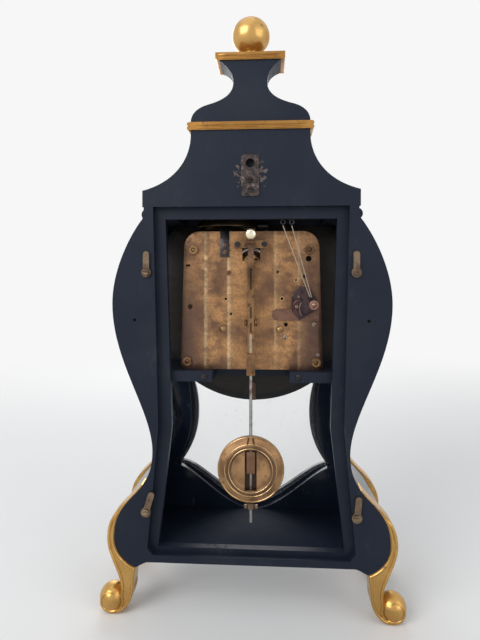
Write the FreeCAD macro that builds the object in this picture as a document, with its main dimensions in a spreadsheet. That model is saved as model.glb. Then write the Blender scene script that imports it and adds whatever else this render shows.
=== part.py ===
import FreeCAD, Part
import math
import os
import Sketcher

# A waisted mantel clock with a bonnet, scroll legs, a two-train movement and a pendulum.
# The front faces -Y, the open back faces +Y and +Z is up. Depths are counted from the
# rear face of the case towards the front. All sizes are in millimetres.

Vector = FreeCAD.Vector

SIZES = {
    # Case outline, half widths and heights above the table
    "case_depth": 107.0,
    "top_half": 108.0,
    "shoulder_half": 109.5,
    "belly_half": 140.5,
    "belly_drop": 86.0,
    "waist_half": 99.2,
    "waist_height": 166.0,
    "bulge_half": 138.8,
    "bulge_height": 77.0,
    "tip_inset": 21.8,
    "tip_height": 48.0,
    "apron_inset": 14.0,
    "base_height": 53.7,
    "body_top": 402.0,
    # Case boards
    "rear_board": 8.0,
    "rebate_depth": 8.0,
    "front_board": 10.0,
    "side_wall": 8.0,
    "floor_thickness": 12.0,
    "floor_inset": 5.0,
    "rebate_top_rim": 9.3,
    "rebate_waist_rim": 6.0,
    "rebate_waist_height": 190.0,
    "rebate_foot_half": 104.5,
    "rebate_foot_height": 68.0,
    "rebate_sill_inset": 5.5,
    "rebate_sill_height": 61.0,
    "rebate_top_lap": 11.2,
    "rebate_waist_lap": 12.2,
    "rebate_foot_lap": 9.5,
    # Side lights
    "light_bottom": 168.0,
    "light_head": 17.0,
    "light_margin": 12.0,
    "glass_thickness": 3.0,
    # Cornice, bonnet, band, cap and ball
    "cornice_thickness": 12.0,
    "cornice_half": 108.5,
    "cornice_hole_half": 78.0,
    "cornice_front_rail": 10.0,
    "eave_half": 109.6,
    "eave_height": 16.5,
    "bonnet_height": 77.0,
    "bonnet_top_half": 60.0,
    "bonnet_neck": 4.0,
    "bonnet_wall": 9.0,
    "band_height": 8.0,
    "band_proud": 3.8,
    "dome_height": 61.7,
    "dome_shoulder_half": 43.0,
    "dome_shoulder_rise": 17.5,
    "neck_half": 16.95,
    "neck_rise": 39.5,
    "neck_top_half": 31.0,
    "cap_half": 35.0,
    "cap_depth": 40.0,
    "cap_height": 7.7,
    "cap_rear_proud": 1.5,
    "ball_radius": 19.5,
    "ball_neck_radius": 8.0,
    "ball_neck_height": 4.5,
    "ball_collar_radius": 11.0,
    "ball_collar_height": 2.0,
    # Legs
    "leg_depth": 18.0,
    "strip_start_height": 132.0,
    "strip_tip_width": 1.6,
    "strip_width": 7.0,
    "leg_neck_inset": 10.5,
    "leg_neck_width": 12.5,
    "leg_neck_height": 27.0,
    "scroll_offset": 25.0,
    "scroll_radius": 13.7,
    "foot_flat": 0.6,
    # Rear fittings
    "button_gap": 0.3,
    "button_thickness": 2.2,
    "button_boss_radius": 5.0,
    "button_arm_half": 3.2,
    "button_reach": 18.0,
    "button_pivot_radius": 1.6,
    "button_screw_head": 1.2,
    "button_screw_radius": 3.4,
    "button_screw_length": 7.0,
    "upper_button_rim": 6.5,
    "upper_button_drop": 54.3,
    "lower_button_rim": 1.0,
    "lower_button_rise": 37.2,
    "running_clearance": 0.05,
    "hanger_half": 9.0,
    "hanger_rise": 10.0,
    "hanger_length": 42.0,
    "hanger_thickness": 1.5,
    "hanger_hole_radius": 4.5,
    "hanger_hole_rise": 33.0,
    "hanger_pocket_depth": 7.0,
    "hanger_screw_rise": 6.5,
    "hanger_screw_spacing": 9.6,
    "small_screw_radius": 1.5,
    "small_screw_head_radius": 3.0,
    "small_screw_head": 1.2,
    "small_screw_length": 6.0,
    # Seat board
    "seat_thickness": 11.0,
    "seat_half": 108.0,
    "notch_half": 40.0,
    "notch_depth": 34.0,
    "seat_screw_half": 49.0,
    # Dial
    "dial_rail": 7.0,
    "centre_rise": 75.0,
    "dial_board_radius": 122.0,
    "dial_board_thickness": 9.0,
    "dial_seat": 19.0,
    "dial_board_trim": 0.5,
    "dial_lap": 6.0,
    "dial_thickness": 2.0,
    "dial_hole_radius": 7.0,
    "winding_hole_radius": 4.6,
    "mask_radius": 75.0,
    "catch_half": 3.0,
    "catch_length": 21.0,
    "catch_thickness": 1.2,
    # Window and door
    "window_waist_inset": 31.7,
    "window_waist_height": 178.0,
    "window_corner_inset": 12.2,
    "window_corner_height": 117.0,
    "window_centre_height": 72.5,
    "window_top_flare": 12.5,
    "window_arch_rail": 43.0,
    "frame_lap": 7.0,
    "door_gap": 0.4,
    "door_thickness": 9.0,
    "door_lap": 9.0,
    "door_margin": 16.0,
    "door_top_gap": 2.0,
    "door_corner_rail": 17.0,
    "door_corner_drop": 5.0,
    "door_round_inset": 1.0,
    "door_glass_recess": 3.0,
    "door_glass_lap": 4.0,
    "bezel_width": 5.0,
    "bezel_proud": 4.0,
    "knob_radius": 5.0,
    "knob_length": 10.0,
    "knob_stem_radius": 2.0,
    "hinge_pin_radius": 1.5,
    "hinge_barrel_radius": 3.0,
    "hinge_length": 16.0,
    "hinge_spacing": 44.0,
    "hinge_offset": 4.5,
    "hinge_gap": 0.3,
    "hinge_lug": 3.0,
    "hinge_lug_reach": 13.5,
    # Movement plates
    "movement_gap": 13.0,
    "plate_thickness": 3.0,
    "plate_spacing": 39.0,
    "plate_height": 146.0,
    "plate_top_half": 71.5,
    "plate_bottom_half": 75.0,
    "plate_top_round": 17.0,
    "plate_bottom_round": 5.0,
    "pillar_radius": 3.5,
    "pillar_top_inset": 10.0,
    "pillar_top_drop": 19.5,
    "pillar_bottom_inset": 7.0,
    "pillar_bottom_rise": 8.0,
    "pillar_screw_radius": 2.0,
    "pillar_nut_radius": 5.0,
    "pillar_nut_height": 2.4,
    "window_half": 9.5,
    "window_drop": 31.0,
    "window_height": 13.5,
    "spare_hole_radius": 2.7,
    "spare_hole_inset": 10.0,
    "spare_hole_rise": 66.0,
    # Suspension and pendulum
    "pendulum_gap": 11.0,
    "pivot_drop": 14.0,
    "cock_half": 17.5,
    "cock_height": 8.0,
    "cock_thickness": 2.0,
    "cock_stand": 6.0,
    "cock_foot": 7.0,
    "chops_half": 4.0,
    "chops_depth": 3.0,
    "chops_height": 15.0,
    "chops_gap": 0.4,
    "suspension_knob_radius": 6.0,
    "suspension_knob_length": 5.5,
    "suspension_knob_rise": 10.0,
    "spring_half": 3.0,
    "spring_thickness": 0.3,
    "spring_length": 14.0,
    "upper_rod_half": 3.5,
    "upper_rod_thickness": 2.0,
    "hook_half": 4.4,
    "hook_thickness": 5.0,
    "hook_length": 22.0,
    "hook_drop": 114.0,
    "rod_radius": 1.6,
    "bob_drop": 233.0,
    "bob_radius": 34.5,
    "bob_thickness": 12.0,
    "bob_ring_outer": 26.5,
    "bob_ring_inner": 20.5,
    "bob_ring_curve": 4.4,
    "bob_slot_half": 6.2,
    "bob_slot_height": 41.0,
    "bob_slot_depth": 5.0,
    "bob_block_half": 4.2,
    "bob_block_height": 22.0,
    "bob_block_gap": 2.0,
    "bob_block_thickness": 3.0,
    "nut_radius": 4.2,
    "nut_height": 6.0,
    "nut_gap": 0.3,
    "wing_half": 7.0,
    "wing_thickness": 1.6,
    "wing_height": 4.0,
    "tip_length": 14.0,
    # Crutch and pallets
    "crutch_hub_radius": 5.5,
    "crutch_half": 2.5,
    "crutch_thickness": 1.5,
    "crutch_gap": 1.2,
    "crutch_length": 82.0,
    "fork_half": 6.6,
    "fork_height": 6.0,
    "fork_prong": 2.4,
    "arbor_radius": 1.5,
    "pallet_gap": 2.0,
    "pallet_hub_radius": 4.0,
    "pallet_thickness": 2.0,
    "pallet_width": 4.0,
    # Going and strike trains
    "barrel_radius": 28.0,
    "barrel_arbor_radius": 3.0,
    "barrel_offset": 30.0,
    "barrel_drop": 32.0,
    "wheel_thickness": 1.6,
    "pinion_length": 4.0,
    "third_offset": 23.5,
    "third_rise": 26.8,
    "escape_drop": 20.5,
    "escape_radius": 12.5,
    "escape_tooth": 2.4,
    "barrel_length": 21.0,
    "barrel_gap": 2.0,
    "centre_wheel_depth": 31.0,
    "third_wheel_depth": 13.0,
    "escape_wheel_depth": 5.0,
    "arbor_end_gap": 0.3,
    "arbor_relief": 1.0,
    # Motion work and hands
    "motion_offset": 13.6,
    "motion_drop": 13.6,
    "cannon_pipe_radius": 2.6,
    "hour_pipe_wall": 1.2,
    "hand_thickness": 1.2,
    "motion_gap": 2.5,
    "pinion_lap": 1.2,
    "hour_step": 6.5,
    "hand_gap": 2.0,
    "hand_step": 1.8,
    "stud_proud": 0.7,
    "winding_end_gap": 1.0,
    "hand_boss_radius": 5.2,
    "minute_hand_length": 64.0,
    "hour_hand_length": 44.0,
    "hand_root_half": 2.2,
    "hand_tip_half": 0.7,
    "hand_ring_radius": 4.4,
    "hand_ring_wall": 1.3,
    # Bell and hammer
    "bell_offset": 28.0,
    "bell_step": 22.0,
    "bell_radius": 33.0,
    "bell_height": 20.0,
    "bell_wall": 2.4,
    "bell_crown_radius": 9.0,
    "bell_curve": 27.0,
    "bell_lift": 151.0,
    "bell_post_radius": 2.5,
    "bell_post_collar": 4.0,
    "bell_nut_radius": 5.0,
    "bell_nut_height": 4.0,
    "stand_half": 4.8,
    "stand_thickness": 2.0,
    "stand_drop": 30.0,
    "bell_clear": 2.0,
    "hammer_offset": 56.0,
    "hammer_rise": 23.0,
    "hammer_arm_half": 1.5,
    "hammer_arm_thickness": 2.0,
    "hammer_head_radius": 4.5,
    "hammer_head_length": 11.0,
    "hammer_gap": 1.5,
    # Repeat lever
    "lever_inset": 9.5,
    "lever_drop": 6.4,
    "lever_thickness": 2.2,
    "lever_gap": 0.4,
    "lever_hub_radius": 6.5,
    "lever_reach": 23.0,
    "lever_screw_radius": 5.0,
    "lever_screw_head": 2.0,
    "lever_pin_radius": 1.1,
    "lever_pin_rise": 6.5,
    "lever_pin_offset": 3.5,
    "lever_stud_radius": 2.0,
    "lever_pin_length": 3.0,
    "lever_cock_half": 6.0,
    "lever_cock_left": 22.0,
    "lever_cock_right": 71.0,
    "lever_cock_drop": 17.0,
    "lever_cock_thickness": 2.0,
    "cord_radius": 0.5,
    "cord_gap": 0.3,
    "staple_radius": 2.2,
    "staple_wire": 0.7,
    "near_staple_offset": 33.0,
    "far_staple_offset": 42.0,
}

# Tooth counts of the trains, and how often the search for a point on a curve is halved
BARREL_TEETH = 96
CENTRE_PINION_TEETH = 8
CENTRE_TEETH = 84
THIRD_PINION_TEETH = 7
THIRD_TEETH = 63
ESCAPE_PINION_TEETH = 7
ESCAPE_TEETH = 34
CANNON_TEETH = 12
MINUTE_TEETH = 36
MINUTE_PINION_TEETH = 10
HOUR_TEETH = 40
WHEEL_HOLE_COUNT = 5
HALVING_COUNT = 40

# Rest angles in degrees: the leaning turn buttons and the hour hand at ten
BUTTON_ANGLES = {"lower_left_button": -17, "lower_right_button": -6}
HOUR_HAND_ANGLE = -60

# Tooth form, as shares of the module and of the pitch
TOOTH_TIP_SHARE = 0.72
TOOTH_ROOT_SHARE = 1.15
TOOTH_WIDTH_SHARES = (0.26, 0.16, 0.09)
WHEEL_HOLE_SHARES = (0.56, 0.22)

# Handles of the case's curves, as shares of the step between their ends
SHOULDER_HANDLE_SHARES = (0.37, 0.17)
BELLY_HANDLE_SHARE = 0.42
FLANK_HANDLE_SHARES = (0.40, 0.28)
FLARE_HANDLE_SHARES = (0.55, 0.53)
BULGE_HANDLE_SHARE = 0.48
TIP_HANDLE_SHARES = (0.50, 0.14)
APRON_HANDLE_SHARES = (0.43, 0.36)
BONNET_HANDLE_SHARES = (0.65, 0.14, 0.46)
DOME_HANDLE_SHARES = (0.46, 0.65, 0.83)
NECK_HANDLE_SHARES = (0.54, 0.17, 0.57)
CAP_HANDLE_SHARES = (0.43, 0.43, 0.74)
WINDOW_TOP_SHARES = (0.55, 0.30, 0.40)
WINDOW_SIDE_SHARES = (0.30, 0.85, 0.38)
WINDOW_FOOT_SHARES = (0.29, 0.11, 0.36)
DOOR_SIDE_SHARES = (0.48, 0.42, 0.15)
STRIP_HANDLE_SHARES = (0.40, 0.52)
LEG_HANDLE_SHARES = (0.38, 0.30)
LEG_INNER_SHARES = (0.45, 0.35)
SCROLL_HANDLE_SHARES = (0.52, 0.56)
SCROLL_TUCK_SHARES = (0.30, 0.45)

# The bob's levels through its thickness, and the outline of the repeat lever as shares
# of its reach, both chosen by hand
BOB_LEVEL_SHARES = (-0.50, -0.12, 0.12, 0.38, 0.36)
LEVER_OUTLINE_SHARES = ((0.66, -0.70), (0.98, -0.30), (1.00, 0.30), (0.62, 0.86),
                        (0.22, 0.80))
SCREW_SLOT_SHARES = (0.28, 0.55)
ESCAPE_TOOTH_SHARES = (0.25, 0.85)
HAND_RING_SHARE = 0.70
WINDING_SQUARE_SHARE = 0.70

doc = FreeCAD.newDocument("mantel_clock")
sheet = doc.addObject("Spreadsheet::Sheet", "Sizes")
for row, (alias, value) in enumerate(SIZES.items(), start=1):
    sheet.set("A%d" % row, alias)
    sheet.set("B%d" % row, str(value))
    sheet.setAlias("B%d" % row, alias)
doc.recompute()


class Length:
    """A number of millimetres that remembers the sheet expression it comes from."""

    def __init__(self, number, text):
        self.number = float(number)
        self.text = text

    def __float__(self):
        return self.number

    def __add__(self, other):
        return Length(self.number + float(other), "(%s + %s)" % (self.text, text_of(other)))

    def __radd__(self, other):
        return Length(float(other) + self.number, "(%s + %s)" % (text_of(other), self.text))

    def __sub__(self, other):
        return Length(self.number - float(other), "(%s - %s)" % (self.text, text_of(other)))

    def __rsub__(self, other):
        return Length(float(other) - self.number, "(%s - %s)" % (text_of(other), self.text))

    def __mul__(self, other):
        return Length(self.number * float(other), "(%s * %s)" % (self.text, text_of(other)))

    def __rmul__(self, other):
        return self * other

    def __truediv__(self, other):
        return Length(self.number / float(other), "(%s / %s)" % (self.text, text_of(other)))

    def __neg__(self):
        return Length(-self.number, "(0 - %s)" % self.text)


class NamedSizes:
    """Gives each cell of the sheet, by its alias, as a Length."""

    def __getattr__(self, alias):
        return Length(getattr(sheet, alias), "Sizes.%s" % alias)


size = NamedSizes()


def text_of(length):
    """The expression of a Length, or a plain number as text."""
    if isinstance(length, Length):
        return length.text
    return "(%r)" % float(length)


def larger(first, second):
    """The larger of two lengths."""
    text = "max(%s; %s)" % (text_of(first), text_of(second))
    return Length(max(float(first), float(second)), text)


def bind(item, name, length):
    """Ties one property of an item to the sheet."""
    item.setExpression(name, text_of(length))


# Levels and depths that several pieces share

cornice_top = size.body_top + size.cornice_thickness
band_bottom = cornice_top + size.bonnet_height
dome_bottom = band_bottom + size.band_height
cap_bottom = dome_bottom + size.dome_height
cap_top = cap_bottom + size.cap_height
belly_height = size.body_top - size.belly_drop
tip_half = size.bulge_half - size.tip_inset
apron_half = tip_half - size.apron_inset
floor_half = tip_half - size.floor_inset
rebate_top_half = size.top_half - size.rebate_top_rim
rebate_waist_half = size.waist_half - size.rebate_waist_rim
rebate_sill_half = size.rebate_foot_half - size.rebate_sill_inset
opening_top_half = rebate_top_half - size.rebate_top_lap
opening_waist_half = rebate_waist_half - size.rebate_waist_lap
opening_foot_half = size.rebate_foot_half - size.rebate_foot_lap
scroll_half = tip_half + size.scroll_offset
leg_neck_outer_half = scroll_half - size.leg_neck_inset
leg_neck_inner_half = leg_neck_outer_half - size.leg_neck_width
upper_button_half = rebate_top_half + size.upper_button_rim
upper_button_height = size.body_top - size.upper_button_drop
lower_button_half = size.rebate_foot_half + size.lower_button_rim
lower_button_height = size.rebate_foot_height + size.lower_button_rise
hanger_bottom = cornice_top + size.hanger_rise
hanger_hole_height = hanger_bottom + size.hanger_hole_rise
hanger_screw_height = hanger_bottom + size.hanger_screw_rise
dial_radius = size.mask_radius + size.dial_lap
dial_board_hole = dial_radius - size.dial_seat
window_waist_half = size.waist_half - size.window_waist_inset
window_corner_half = size.waist_half - size.window_corner_inset
window_top_half = window_waist_half + size.window_top_flare
window_arch_radius = size.mask_radius + size.window_arch_rail
door_corner_half = window_corner_half + size.door_corner_rail
door_corner_height = size.window_corner_height - size.door_corner_drop
door_round_radius = size.mask_radius - size.door_round_inset
floor_top = size.base_height + size.floor_thickness
light_top = size.body_top - size.light_head
centre_height = size.body_top - size.dial_rail - size.mask_radius
seat_top = centre_height - size.centre_rise
seat_height = seat_top - size.seat_thickness
pivot_rise = size.plate_height - size.pivot_drop
pivot_height = seat_top + pivot_rise
window_rise = size.plate_height - size.window_drop
pillar_top_half = size.plate_top_half - size.pillar_top_inset
pillar_top_rise = size.plate_height - size.pillar_top_drop
pillar_bottom_half = size.plate_bottom_half - size.pillar_bottom_inset
spare_hole_half = size.plate_bottom_half - size.spare_hole_inset
lever_offset = size.plate_bottom_half - size.lever_inset
frame_depth = size.rear_board + size.rebate_depth
front_depth = size.case_depth - size.front_board
door_depth = size.case_depth + size.door_gap
button_proud = size.button_gap * 2 + size.button_thickness + size.button_screw_head
rear_proud = larger(button_proud, size.scroll_radius - size.leg_depth / 2)
front_proud = size.door_gap + size.door_thickness + size.knob_length
rear_level = (size.case_depth + front_proud - rear_proud) / 2
dial_depth = front_depth - size.dial_thickness
dial_board_depth = dial_depth - size.dial_board_thickness
movement_front = dial_board_depth - size.movement_gap
front_plate_depth = movement_front - size.plate_thickness
plate_front = front_plate_depth - size.plate_spacing
plate_depth = plate_front - size.plate_thickness
pendulum_depth = plate_depth - size.pendulum_gap
bell_depth = plate_depth + size.bell_step
bridge_depth = plate_depth - size.cock_stand - size.cock_thickness


def at_depth(depth):
    """The Y of a depth behind the rear face."""
    return rear_level - depth


# Placing and plain solids

FACING_FRONT = FreeCAD.Rotation(Vector(1, 0, 0), 90)


def place(item, x, depth, z, turn=None):
    """Puts an item at x, a depth and a height, tied to the sheet."""
    spot = (x, at_depth(depth), z)
    base = Vector(*[float(value) for value in spot])
    item.Placement = FreeCAD.Placement(base, turn or FreeCAD.Rotation())
    for axis, value in zip("xyz", spot):
        if isinstance(value, Length):
            bind(item, "Placement.Base." + axis, value)
    return item


def box(name, x, depth, z, wide, deep, high):
    """A block from its left, rear, lower corner towards the front."""
    item = doc.addObject("Part::Box", name)
    bind(item, "Length", wide)
    bind(item, "Width", deep)
    bind(item, "Height", high)
    return place(item, x, depth + deep, z)


def round_bar(name, x, depth, z, radius, length):
    """A cylinder that runs from a depth towards the front."""
    item = doc.addObject("Part::Cylinder", name)
    bind(item, "Radius", radius)
    bind(item, "Height", length)
    return place(item, x, depth, z, FACING_FRONT)


def upright_bar(name, x, depth, z, radius, length):
    """A cylinder that stands up from z."""
    item = doc.addObject("Part::Cylinder", name)
    bind(item, "Radius", radius)
    bind(item, "Height", length)
    return place(item, x, depth, z)


def joined(label, items):
    """One solid out of several that touch."""
    item = doc.addObject("Part::MultiFuse", label)
    item.Shapes = items
    item.Refine = True
    return item


def cut_from(label, base, tool):
    """A base with a tool cut away."""
    item = doc.addObject("Part::Cut", label)
    item.Base = base
    item.Tool = tool
    return item


def group(label, items):
    """Several separate solids that share one name."""
    item = doc.addObject("Part::Compound", label)
    item.Links = items
    return item


# Sketched bodies


def new_body(label):
    """An empty body with its own label."""
    return doc.addObject("PartDesign::Body", label)


def plane_of(body, role):
    """One of the body's own origin planes."""
    return [plane for plane in body.Origin.OriginFeatures if plane.Role == role][0]


def new_sketch(body, role):
    """An empty sketch on one of the body's own origin planes."""
    sketch = body.newObject("Sketcher::SketchObject", body.Name + "_sketch")
    sketch.AttachmentSupport = [(plane_of(body, role), "")]
    sketch.MapMode = "FlatFace"
    return sketch


def hold_point(sketch, rules, ties, geometry, end, x, y):
    """Fixes one end of a sketch edge to two lengths from the origin."""
    for kind, axis, value in (("DistanceX", -2, x), ("DistanceY", -1, y)):
        if isinstance(value, Length):
            rules.append(Sketcher.Constraint(kind, -1, 1, geometry, end, float(value)))
            ties.append((len(rules) - 1, value))
        else:
            rules.append(Sketcher.Constraint("PointOnObject", geometry, end, axis))


def arc_centre(start, end, radius):
    """The centre of the short arc from start to end; a positive radius turns left."""
    chord = end - start
    middle = (start + end) / 2
    rise = math.sqrt(max(radius ** 2 - (chord.Length / 2) ** 2, 0))
    left = Vector(-chord.y, chord.x, 0).normalize()
    return middle + left * math.copysign(rise, radius)


def add_outline(sketch, corners):
    """A closed outline: a corner (x, y) ends a straight side, (x, y, radius) an arc."""
    rules = []
    ties = []
    ends = []
    spots = [Vector(float(corner[0]), float(corner[1]), 0) for corner in corners]
    for index, corner in enumerate(corners):
        start = spots[index - 1]
        end = spots[index]
        if len(corner) == 2:
            number = sketch.addGeometry(Part.LineSegment(start, end), False)
            ends.append((number, 1, 2))
            continue
        radius = float(corner[2])
        centre = arc_centre(start, end, radius)
        first, last = (start, end) if radius > 0 else (end, start)
        angles = [math.atan2(spot.y - centre.y, spot.x - centre.x) for spot in (first, last)]
        circle = Part.Circle(centre, Vector(0, 0, 1), abs(radius))
        number = sketch.addGeometry(Part.ArcOfCircle(circle, angles[0], angles[1]), False)
        ends.append((number, 1, 2) if radius > 0 else (number, 2, 1))
        rules.append(Sketcher.Constraint("Radius", number, abs(radius)))
        ties.append((len(rules) - 1, corner[2] if radius > 0 else -corner[2]))
    for index, corner in enumerate(corners):
        number, _, tail = ends[index]
        after, head, _ = ends[(index + 1) % len(corners)]
        rules.append(Sketcher.Constraint("Coincident", number, tail, after, head))
        hold_point(sketch, rules, ties, number, tail, corner[0], corner[1])
    add_rules(sketch, rules, ties)


def add_circle(sketch, x, y, radius):
    """A full circle held by its centre and radius."""
    rules = []
    ties = []
    circle = Part.Circle(Vector(float(x), float(y), 0), Vector(0, 0, 1), float(radius))
    number = sketch.addGeometry(circle, False)
    rules.append(Sketcher.Constraint("Radius", number, float(radius)))
    ties.append((0, radius))
    hold_point(sketch, rules, ties, number, 3, x, y)
    add_rules(sketch, rules, ties)


def add_rules(sketch, rules, ties):
    """Adds constraints and ties the measured ones to the sheet."""
    first = sketch.ConstraintCount
    sketch.addConstraint(rules)
    for index, length in ties:
        bind(sketch, "Constraints[%d]" % (first + index), length)


def plate(label, x, depth, z, thickness, corners, holes=(), cutouts=(), turn=None):
    """A flat piece drawn as seen from the front, its thickness running to the front."""
    body = new_body(label)
    sketch = new_sketch(body, "XZ_Plane")
    add_outline(sketch, corners)
    for hole in holes:
        add_circle(sketch, *hole)
    for cutout in cutouts:
        add_outline(sketch, cutout)
    pad = body.newObject("PartDesign::Pad", label + "_pad")
    pad.Profile = sketch
    bind(pad, "Length", thickness)
    return place(body, x, depth, z, turn)


def disc(label, x, depth, z, thickness, radius, holes=()):
    """A round flat piece with round holes."""
    body = new_body(label)
    sketch = new_sketch(body, "XZ_Plane")
    add_circle(sketch, 0, 0, radius)
    for hole in holes:
        add_circle(sketch, *hole)
    pad = body.newObject("PartDesign::Pad", label + "_pad")
    pad.Profile = sketch
    bind(pad, "Length", thickness)
    return place(body, x, depth, z)


def turned(label, x, depth, z, corners, role):
    """A piece turned about the vertical axis of its sketch plane."""
    body = new_body(label)
    sketch = new_sketch(body, role)
    add_outline(sketch, corners)
    turn = body.newObject("PartDesign::Revolution", label + "_turn")
    turn.Profile = sketch
    turn.ReferenceAxis = (sketch, ["V_Axis"])
    turn.Angle = 360
    return place(body, x, depth, z)


# Shapes drawn by curves


def spot_of(point):
    """A front-view point as a vector."""
    return Vector(float(point[0]), 0, float(point[1]))


def edge_of(points):
    """A straight edge through two points, or a cubic curve with two handles between."""
    if len(points) == 2:
        return Part.LineSegment(spot_of(points[0]), spot_of(points[1])).toShape()
    curve = Part.BezierCurve()
    curve.setPoles([spot_of(point) for point in points])
    return curve.toShape()


def arc_edge(start, middle, end):
    """A round edge through three front-view points."""
    return Part.Arc(spot_of(start), spot_of(middle), spot_of(end)).toShape()


def mirrored_path(path):
    """The same path on the other side, run backwards."""
    return [[(-point[0], point[1]) for point in reversed(part)] for part in reversed(path)]


def path_face(path):
    """A closed path as a face."""
    return Part.Face(Part.Wire([edge_of(part) for part in path]))


def both_sides(path):
    """A face closed by the mirror image of its right half."""
    return path_face(path + mirrored_path(path))


def thick(face, depth):
    """A front-view face thickened towards the front."""
    return face.extrude(Vector(0, -float(depth), 0))


def shaped(label, shape, x, depth, z):
    """A piece with a drawn shape, placed after the shape is set."""
    item = doc.addObject("Part::Feature", label)
    item.Shape = shape
    return place(item, x, depth, z)


def bar_shape(x, y, z, radius, length):
    """A plain round bar towards the front, as a shape."""
    base = Vector(float(x), float(y), float(z))
    return Part.makeCylinder(float(radius), float(length), base, Vector(0, -1, 0))


def between(first, last, share):
    """A value part of the way from first to last."""
    return first + (last - first) * share


# The case outline


def flank_path():
    """The right edge of the case from the shoulder down to the tip over the leg."""
    shoulder = (size.shoulder_half, size.body_top)
    belly = (size.belly_half, belly_height)
    waist = (size.waist_half, size.waist_height)
    bulge = (size.bulge_half, size.bulge_height)
    tip = (tip_half, size.tip_height)
    shoulder_out = (between(shoulder[0], belly[0], SHOULDER_HANDLE_SHARES[0]),
                    between(shoulder[1], belly[1], SHOULDER_HANDLE_SHARES[1]))
    belly_in = (belly[0], between(belly[1], shoulder[1], BELLY_HANDLE_SHARE))
    belly_out = (belly[0], between(belly[1], waist[1], FLANK_HANDLE_SHARES[0]))
    waist_in = (waist[0], between(waist[1], belly[1], FLANK_HANDLE_SHARES[1]))
    waist_out = (waist[0], between(waist[1], bulge[1], FLARE_HANDLE_SHARES[0]))
    bulge_in = (bulge[0], between(bulge[1], waist[1], FLARE_HANDLE_SHARES[1]))
    bulge_out = (bulge[0], between(bulge[1], tip[1], BULGE_HANDLE_SHARE))
    tip_in = (between(tip[0], bulge[0], TIP_HANDLE_SHARES[0]),
              between(tip[1], bulge[1], TIP_HANDLE_SHARES[1]))
    return [
        [shoulder, shoulder_out, belly_in, belly],
        [belly, belly_out, waist_in, waist],
        [waist, waist_out, bulge_in, bulge],
        [bulge, bulge_out, tip_in, tip],
    ]


def case_face(crowned):
    """The whole outline of a case board, with or without its end beside the cornice."""
    flank = flank_path()
    shoulder = flank[0][0]
    crown = (size.top_half, cornice_top)
    tip = (tip_half, size.tip_height)
    apron = (apron_half, size.base_height)
    tip_out = (between(tip[0], apron[0], APRON_HANDLE_SHARES[0]),
               between(tip[1], apron[1], APRON_HANDLE_SHARES[0]))
    apron_in = (between(apron[0], tip[0], APRON_HANDLE_SHARES[1]), apron[1])
    if crowned:
        path = [[(0, cornice_top), crown], [crown, shoulder]]
    else:
        path = [[(0, shoulder[1]), shoulder]]
    path += flank
    path += [[tip, tip_out, apron_in, apron], [apron, (0, size.base_height)]]
    return both_sides(path)


def opening_face(corners, top):
    """An opening with straight sides, from its top down its right side to its sill."""
    path = [[(0, top), (corners[0][0], top)]]
    path += [list(pair) for pair in zip(corners, corners[1:])]
    path += [[corners[-1], (0, corners[-1][1])]]
    return both_sides(path)


def button_spots():
    """The pivots of the four turn buttons."""
    upper = upper_button_height
    lower = lower_button_height
    return {
        "upper_left_button": (upper_button_half, upper),
        "upper_right_button": (-upper_button_half, upper),
        "lower_left_button": (lower_button_half, lower),
        "lower_right_button": (-lower_button_half, lower),
    }


def make_rear_frame():
    """The back board, rebated for the rear door, with screw holes for the buttons."""
    rebate = opening_face([
        (rebate_top_half, cornice_top),
        (rebate_waist_half, size.rebate_waist_height),
        (size.rebate_foot_half, size.rebate_foot_height),
        (rebate_sill_half, size.rebate_sill_height),
    ], cornice_top)
    opening = opening_face([
        (opening_top_half, size.body_top),
        (opening_waist_half, size.rebate_waist_height),
        (opening_foot_half, floor_top),
    ], size.body_top)
    shape = thick(case_face(True), frame_depth)
    shape = shape.cut(thick(rebate, size.rear_board))
    shape = shape.cut(thick(opening, frame_depth))
    for x, z in button_spots().values():
        depth = size.button_screw_length
        shape = shape.cut(bar_shape(x, 0, z, size.button_pivot_radius, depth))
    return shaped("rear_frame", shape, 0, 0, 0)


def window_side(grow):
    """The right side of the pendulum window, from its arched top to its bottom middle."""
    arch = window_arch_radius - grow
    top_half = window_top_half + grow
    top = (top_half, centre_height - math.sqrt(float(arch) ** 2 - float(top_half) ** 2))
    waist = (window_waist_half + grow, size.window_waist_height)
    corner = (window_corner_half + grow, size.window_corner_height)
    foot = (0, size.window_centre_height - grow)
    top_out = (between(top[0], waist[0], WINDOW_TOP_SHARES[0]),
               between(top[1], waist[1], WINDOW_TOP_SHARES[1]))
    waist_in = (waist[0], between(waist[1], top[1], WINDOW_TOP_SHARES[2]))
    waist_out = (waist[0], between(waist[1], corner[1], WINDOW_SIDE_SHARES[0]))
    corner_in = (between(corner[0], waist[0], WINDOW_SIDE_SHARES[1]),
                 between(corner[1], waist[1], WINDOW_SIDE_SHARES[2]))
    return [
        [top, top_out, waist_in, waist],
        [waist, waist_out, corner_in, corner],
        wavy_foot(corner, foot),
    ]


def wavy_foot(corner, foot):
    """The right half of a wavy lower edge, from its corner down to its middle."""
    corner_out = (between(corner[0], foot[0], WINDOW_FOOT_SHARES[0]),
                  between(corner[1], foot[1], WINDOW_FOOT_SHARES[1]))
    foot_in = (between(foot[0], corner[0], WINDOW_FOOT_SHARES[2]), foot[1])
    return [corner, corner_out, foot_in, foot]


def window_face(grow):
    """The pendulum window, grown by a margin."""
    side = window_side(grow)
    edges = [edge_of(part) for part in side + mirrored_path(side)]
    top = side[0][0]
    crest = (0, centre_height - window_arch_radius + grow)
    edges.append(arc_edge((-top[0], top[1]), crest, top))
    return Part.Face(Part.Wire(edges))


def round_face(radius):
    """A round face about the dial's centre."""
    circle = Part.makeCircle(float(radius), spot_of((0, centre_height)), Vector(0, -1, 0))
    return Part.Face(Part.Wire([circle]))


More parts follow.
